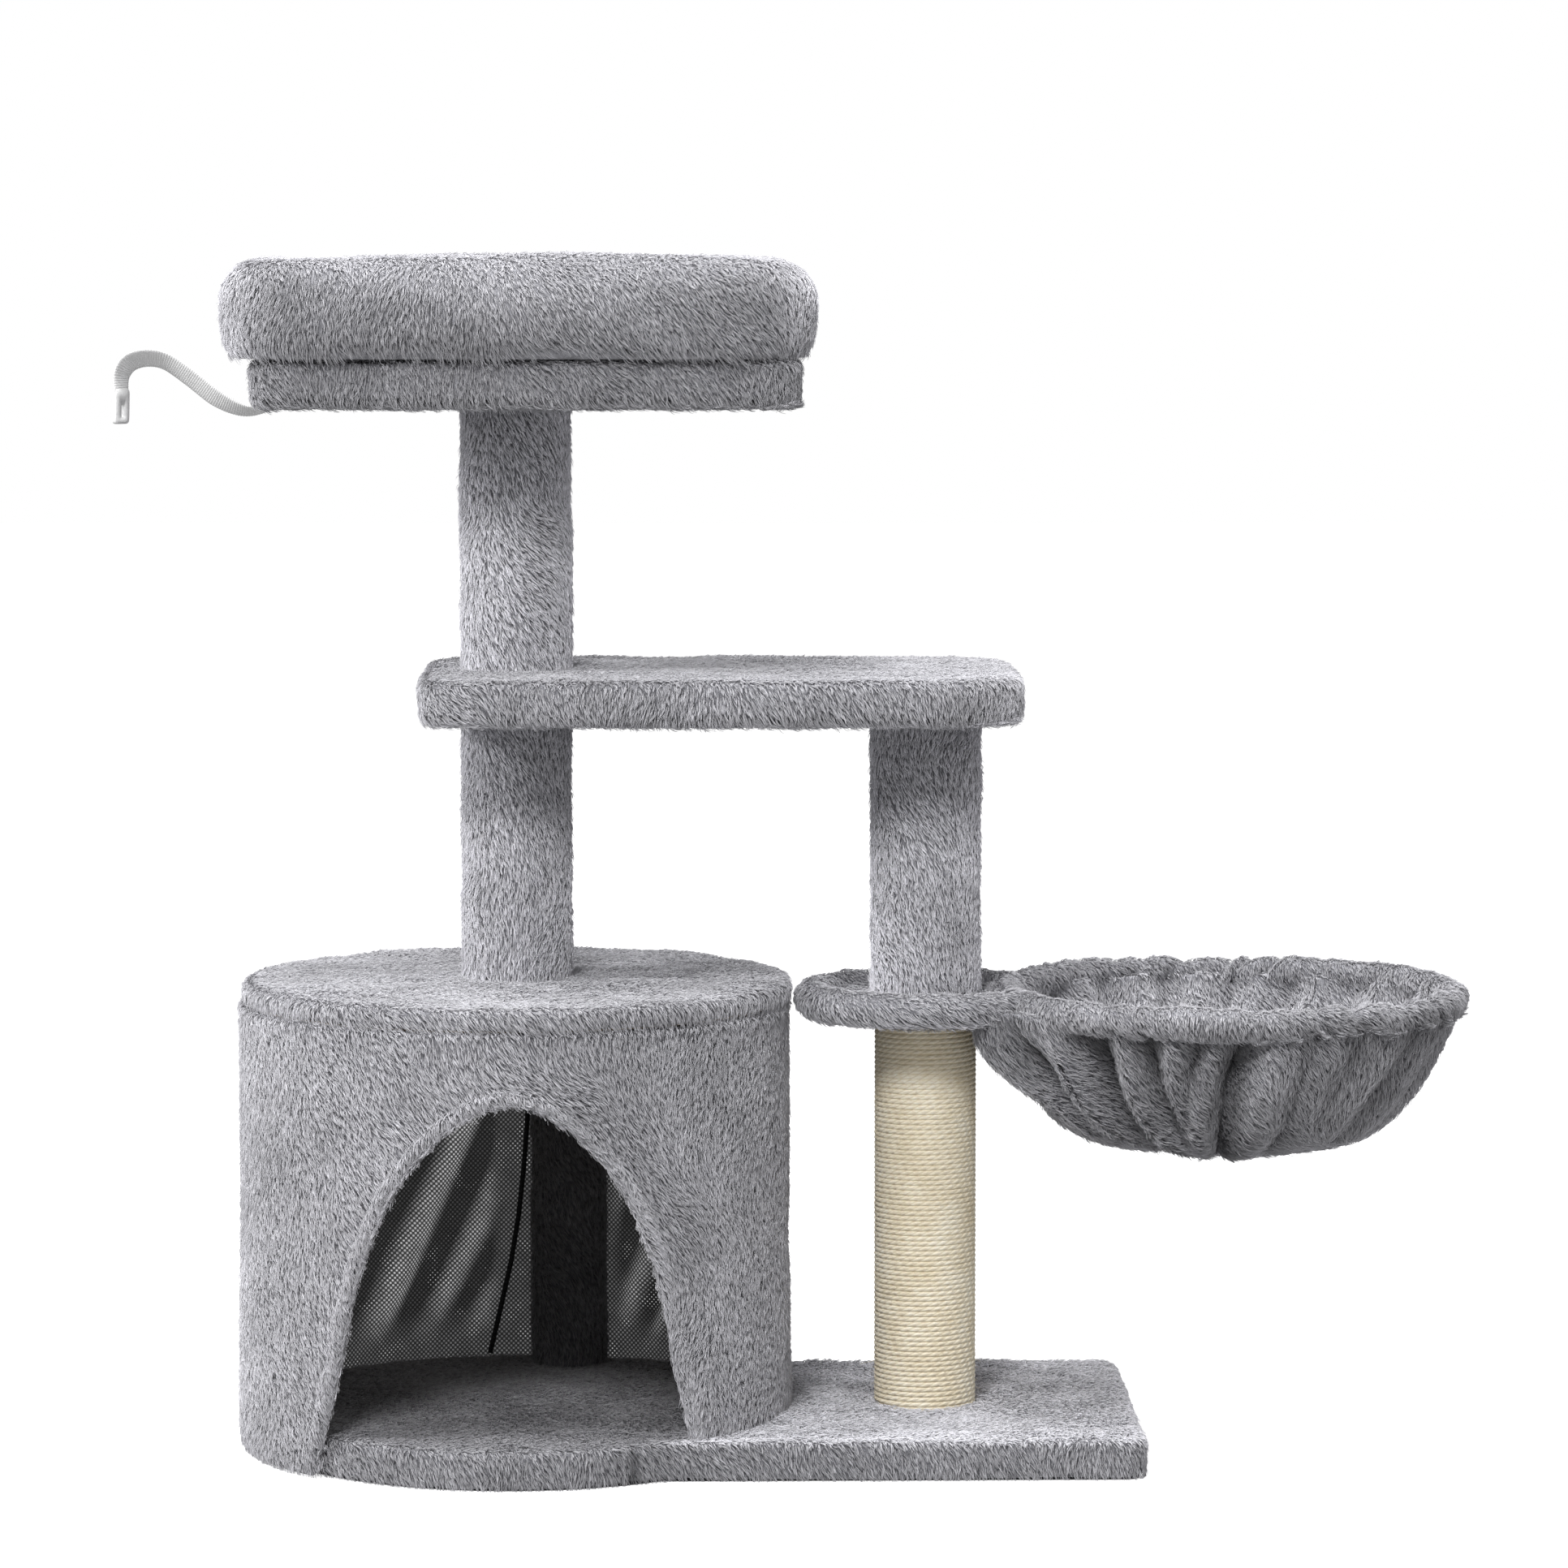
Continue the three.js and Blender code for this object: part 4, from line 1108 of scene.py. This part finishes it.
def hammock_rim(centre, radius, tube):
    """The sleeve round the wire: bunched up along its length, so it is full of short creases."""
    turn, angle = full_turn(560), full_turn(26)
    # The creases run round the tube aslant
    aslant = turn[:, None] + 0.05 * np.sin(angle + 0.6)[None, :]
    large, puff = lobes(aslant, crease_angles(RIM_PLEATS, 61))
    small, _ = lobes(aslant, crease_angles(RIM_GATHERS, 60))
    depth = random(59).uniform(0.02, 0.42, RIM_PLEATS)[puff]
    thickness = tube * (0.97 - depth * (1 - large) - 0.06 * (1 - small))
    out = spokes(turn)
    sway = out * radius
    rise, reach = 0.0016 * noise(sway, 0.05, 57), 0.0016 * noise(sway, 0.045, 58)
    grid = np.array(centre) + out[:, None] * (radius + reach[:, None] + thickness * np.cos(angle))[..., None]
    grid[..., 2] += thickness * np.sin(angle) + rise[:, None]
    faces = grid_faces(len(turn), len(angle), close_rows=True)
    piece = mesh_object("hammock_rim", grid.reshape(-1, 3), faces, PLUSH)
    outward(piece)
    lump(piece, 0.0009, 0.014, 62)
    settle(piece, "hammock", "hammock_rim_sleeve")
    # The rim's pile has a darker painted light
    grow_pile(piece, 63, length=0.8, painted_light=painted_light_levels(0.29, 0.33))


def hammock_loop(post, ring_centre, ring_radius):
    """The sleeve on the wire's loop round the post, and the two layers of plush that fill the loop."""
    offset = ring_centre.x - post.x
    meets = (offset**2 + LOOP_RADIUS**2 - ring_radius**2) / (2 * offset * LOOP_RADIUS)
    first = math.degrees(math.acos(meets))
    low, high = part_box("hammock_loop_sleeve")
    tube = (high.z - low.z) / 2
    flat = arc(post.x, post.y, LOOP_RADIUS, first, 360 - first, 130)
    path = np.column_stack([flat, np.full(len(flat), post.z)])
    sleeve = swept_tube("hammock_loop", path, tube, 20, 0.0011, 64)

    rows, turn = 12, full_turn(200)
    start = round_box("right_post_plush_sleeve")[3] + 0.0004
    clear = ring_radius + 0.009
    reach = offset * np.cos(turn) - np.sqrt(np.maximum(clear**2 - (offset * np.sin(turn)) ** 2, 0))
    facing_ring = (np.cos(turn) > 0) & (clear > abs(offset * np.sin(turn)))
    edge = np.where(facing_ring, np.minimum(LOOP_RADIUS - 0.003, reach), LOOP_RADIUS - 0.003)
    edge = np.maximum(edge, start + 0.001)
    share = np.linspace(0, 1, rows)[:, None]
    distance = start + share * (edge - start)
    wrinkle = 0.0010 * np.sin(turn * 26 + 2 * np.sin(turn * 3)) * np.sin(share * math.pi)
    sheets = []
    for side in (1, -1):
        x, y = post.x + distance * np.cos(turn), post.y + distance * np.sin(turn)
        z = post.z + side * (0.0032 - 0.0006 * np.sin(share * math.pi)) + wrinkle
        sheets.append(np.stack([x, y, z], axis=-1))
    grid = np.concatenate([sheets[0], sheets[1][::-1]])
    faces = grid_faces(2 * rows, len(turn), close_rows=True)
    web = mesh_object("hammock_loop_web", grid.reshape(-1, 3), faces, PLUSH_FLAT)
    outward(web)
    for piece, seed, share_of_pile in ((sleeve, 65, 1.0), (web, 66, 0.8)):
        settle(piece, "hammock", "hammock_loop_sleeve")
        grow_pile(piece, seed, density=share_of_pile, length=0.85, rise=0.0012)


def folds(turn, share):
    """How deep the bowl is folded in, at an angle round the ring and a share of the way up to the rim."""
    folded = 0 * (turn + share)
    for at_rim, at_foot, deep, run, wide in CREASES:
        line = np.radians(at_foot + (at_rim - at_foot) * share)
        away = abs(wrapped(turn - line))
        groove = np.clip(1 - away / math.radians(wide), 0, 1) ** 1.25
        folded = np.maximum(folded, deep * groove * smooth_step(share, run, run + 0.32))
    return folded


def hammock_bowl(centre):
    """The gathered bowl: cut round, drawn up to the ring, so it falls in deep pleats below the rim."""
    low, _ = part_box("hammock_bowl")
    outline = evenly(spline(BOWL, 10), 0.0025)[1:]
    rows, columns = len(outline), 480
    turn = full_turn(columns)
    share = np.linspace(0, 1, rows)[:, None]
    radius, height = outline[:, :1], outline[:, 1:]
    slope = unit(np.gradient(outline, axis=0))
    folded = folds(turn[None, :], share)
    # The folds grow shallower towards the foot, and are pressed together again just under the rim
    fade = (radius / radius[-1]) ** 1.3 * (0.5 + 0.5 * smooth_step(-share, -1.0, -0.8))
    push = 0.003 * smooth_step(share, 0.2, 0.8) - FOLD_DEPTH * folded * fade
    sway = np.stack([radius * np.cos(turn), radius * np.sin(turn), height + 0 * turn], axis=-1)
    lumps = noise(sway.reshape(-1, 3), 0.045, 68).reshape(push.shape)
    push += 0.0030 * lumps * smooth_step(share, 0.0, 0.35) * smooth_step(-share, -1.0, -0.8)
    # Next to the post the cloth runs out to the two arms of the loop, in a pair of spouts
    aside = abs(np.degrees(turn) - 180)
    spout = np.exp(-(((aside - 22) / 12) ** 2)) + 0.42 * np.exp(-((aside / 11) ** 2))
    reach_out = 0.033 * smooth_step(height, 0.030, 0.082) * spout[None, :]
    lean = -0.005 * smooth_step(-height, -0.088, -0.045)
    surfaces = []
    for inward in (0.0, BOWL_CLOTH):
        r = radius + slope[:, 1:] * (push - inward) + reach_out
        x, y = centre.x + lean + r * np.cos(turn), centre.y + r * np.sin(turn)
        z = low.z + BOWL_FOOT + height - slope[:, :1] * (push - inward)
        surfaces.append(np.stack([x, y, z], axis=-1))
    outer, inner = surfaces
    # Rows run from the rim down the outside to its hub, and from the inner hub up to the rim
    points = np.concatenate([outer[::-1], inner]).reshape(-1, 3)
    outer_hub, inner_hub = len(points), len(points) + 1
    middles = [outer[0].mean(0), inner[0].mean(0)]
    faces = [face for face in grid_faces(2 * rows, columns) if min(face) // columns != rows - 1]
    under, over, edge = (rows - 1) * columns, rows * columns, (2 * rows - 1) * columns
    for j in range(columns):
        m = (j + 1) % columns
        faces.append((under + j, under + m, outer_hub))
        faces.append((over + m, over + j, inner_hub))
        faces.append((j, edge + j, edge + m, m))
    piece = mesh_object("hammock_basket", np.concatenate([points, middles]), faces, PLUSH)
    outward(piece)
    settle(piece, "hammock", "hammock_bowl")

    def bowl_painted_light(root, up, level):
        """Painted light and shade: lighter on level faces, with painted shade in the folds on the outside."""
        x, y = root[:, 0] - centre.x, root[:, 1] - centre.y
        part = np.interp(root[:, 2] - low.z - BOWL_FOOT, outline[:, 1], share[:, 0])
        outside = smooth_step(up[:, 0] * x + up[:, 1] * y, 0.0, 0.02)
        return 0.38 + 0.33 * level - 0.55 * folds(np.arctan2(y, x), part) * outside

    grow_pile(piece, 69, rise=0.0, painted_light=bowl_painted_light)


def hammock():
    low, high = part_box("hammock_rim_sleeve")
    centre, tube = (low + high) / 2, (high.z - low.z) / 2
    radius = (high.y - low.y) / 2 - tube
    post = round_box("hammock_stud")[2]
    post.z = centre.z
    hammock_rim(centre, radius, tube)
    hammock_loop(post, centre, radius)
    hammock_bowl(centre)


# ---------------------------------------------------------------- strap
STRAP_WIDTH, STRAP_THICKNESS = 0.020, 0.0016
TAB_HALF = 0.0017  # half the thickness of the folded end
TAB_OVERLAP = 0.002
SLOT_HALF_WIDTH, SLOT_HALF_LENGTH, SLOT_OFFSET = 0.0022, 0.0045, 0.003
# The strap's route as (x, z) in millimetres, from its screw under the perch to its folded end
STRAP_ROUTE = [
    (-246, 702.4), (-262, 702.2), (-277, 699), (-290, 694.5), (-304, 694.5), (-321, 702.5),
    (-339, 716.5), (-355, 727.5), (-368, 730), (-379.5, 727), (-385.5, 718.5), (-386, 707),
]


def strap():
    """Flat ribbed webbing that stands in a stiff wave, turning its face a little to the front."""
    low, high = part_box("anti_tip_strap")
    y = (low.y + high.y) / 2
    route = [(x / 1000, y, z / 1000) for x, z in STRAP_ROUTE]
    path = evenly(spline(route, 12), 0.0004)
    tangent = unit(np.gradient(path, axis=0))
    normal = np.cross(tangent, (0.0, 1.0, 0.0))
    share = np.linspace(0, 1, len(path))
    twist = np.radians(36) * smooth_step(share, 0.12, 0.5) - np.radians(14) * smooth_step(share, 0.85, 1.0)
    sideways = np.array([0, 1.0, 0]) * np.cos(twist)[:, None] + normal * np.sin(twist)[:, None]
    face = np.cross(sideways, tangent)
    places = np.linspace(-1, 1, 11)
    rib = 0.00016 * np.cos(np.arange(len(path)) * math.pi / 2)[:, None]
    half = STRAP_THICKNESS / 2 * (1 - 0.45 * places**6) + rib
    middle = path[:, None] + sideways[:, None] * (places * STRAP_WIDTH / 2)[None, :, None]
    raised = face[:, None] * half[..., None]
    ring = np.concatenate([middle + raised, (middle - raised)[:, ::-1]], axis=1)
    points = np.concatenate([ring.reshape(-1, 3), path[:1], path[-1:]])
    material = webbing_material()
    tape = mesh_object("strap_tape", points, capped_grid(len(path), ring.shape[1]), material)
    outward(tape)
    settle(tape, "root", "anti_tip_strap")

    tab_length = path[-1][2] - low.z + TAB_OVERLAP
    centre = path[-1] + tangent[-1] * (tab_length / 2 - TAB_OVERLAP)
    tab = slotted_tab(centre, sideways[-1], tangent[-1], face[-1], tab_length, material)
    settle(tab, "root", "anti_tip_strap")


def squared(value):
    """Turns the sine or cosine of a circle into that of a square with round corners."""
    return np.sign(value) * abs(value) ** 0.25


def slotted_tab(centre, across, along, out, length, material):
    """The strap's end, folded back on itself and sewn, with a slot for a screw."""
    angle = full_turn(48)
    round_x, square_x, square_y = np.cos(angle), squared(np.cos(angle)), squared(np.sin(angle))
    outer = np.stack([square_x * STRAP_WIDTH / 2, square_y * length / 2], axis=1)
    slot = np.stack([round_x * SLOT_HALF_WIDTH, square_y * SLOT_HALF_LENGTH + SLOT_OFFSET], axis=1)
    front = [(outer, TAB_HALF * 0.6), (outer * 0.97, TAB_HALF), (slot, TAB_HALF)]
    loops = front + [(loop, -depth) for loop, depth in reversed(front)]
    rings = [
        centre + loop[:, :1] * across + loop[:, 1:] * along + depth * out for loop, depth in loops
    ]
    faces = grid_faces(len(rings), len(angle), close_rows=True)
    tab = mesh_object("strap_end", np.concatenate(rings), faces, material)
    outward(tab)
    return tab


# ---------------------------------------------------------------- hardware and hidden pieces
# By the end of the node's name: material, dark and light colour, fleck scale, roughness
FINISHES = {
    "_board": ("chipboard", (0.42, 0.29, 0.16), (0.70, 0.55, 0.36), 420.0, 0.8),
    "_tube": ("cardboard", (0.36, 0.25, 0.14), (0.50, 0.37, 0.23), 90.0, 0.85, (1, 1, 6)),
    "_plug": ("turned_wood", (0.55, 0.40, 0.22), (0.74, 0.58, 0.36), 120.0, 0.7, (1, 1, 0.1)),
    "_bolt": ("zinc", (0.55, 0.56, 0.58), (0.72, 0.73, 0.74), 260.0, 0.32, (1, 1, 1), 1.0),
    "_liner": ("felt", (0.018, 0.018, 0.02), (0.05, 0.05, 0.055), 900.0, 0.95),
    "_binding": ("black_binding", (0.008, 0.008, 0.009), (0.03, 0.03, 0.032), 700.0, 0.7),
}
PLATED = ("_washer", "_stud", "_screw", "_frame")


def finish_frame():
    """Gives the CAD nodes that stay in the scene the materials they are made of."""
    finishes = {ending: speckled_material(*look) for ending, look in FINISHES.items()}
    finishes |= dict.fromkeys(PLATED, finishes["_bolt"])
    for name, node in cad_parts.items():
        material = finishes.get("_" + name.rsplit("_", 1)[1])
        if name.startswith("inner_pole_") and not name.endswith("_plush"):
            material = finishes["_plug"]
        if material is not None:
            node.data.materials.clear()
            node.data.materials.append(material)


# ---------------------------------------------------------------- making
camera()
strap()
studio()
base_cover()
upper_covers()
sleeves()
condo_wall()
sisal_post()
bolster()
cushion()
hammock()
finish_frame()
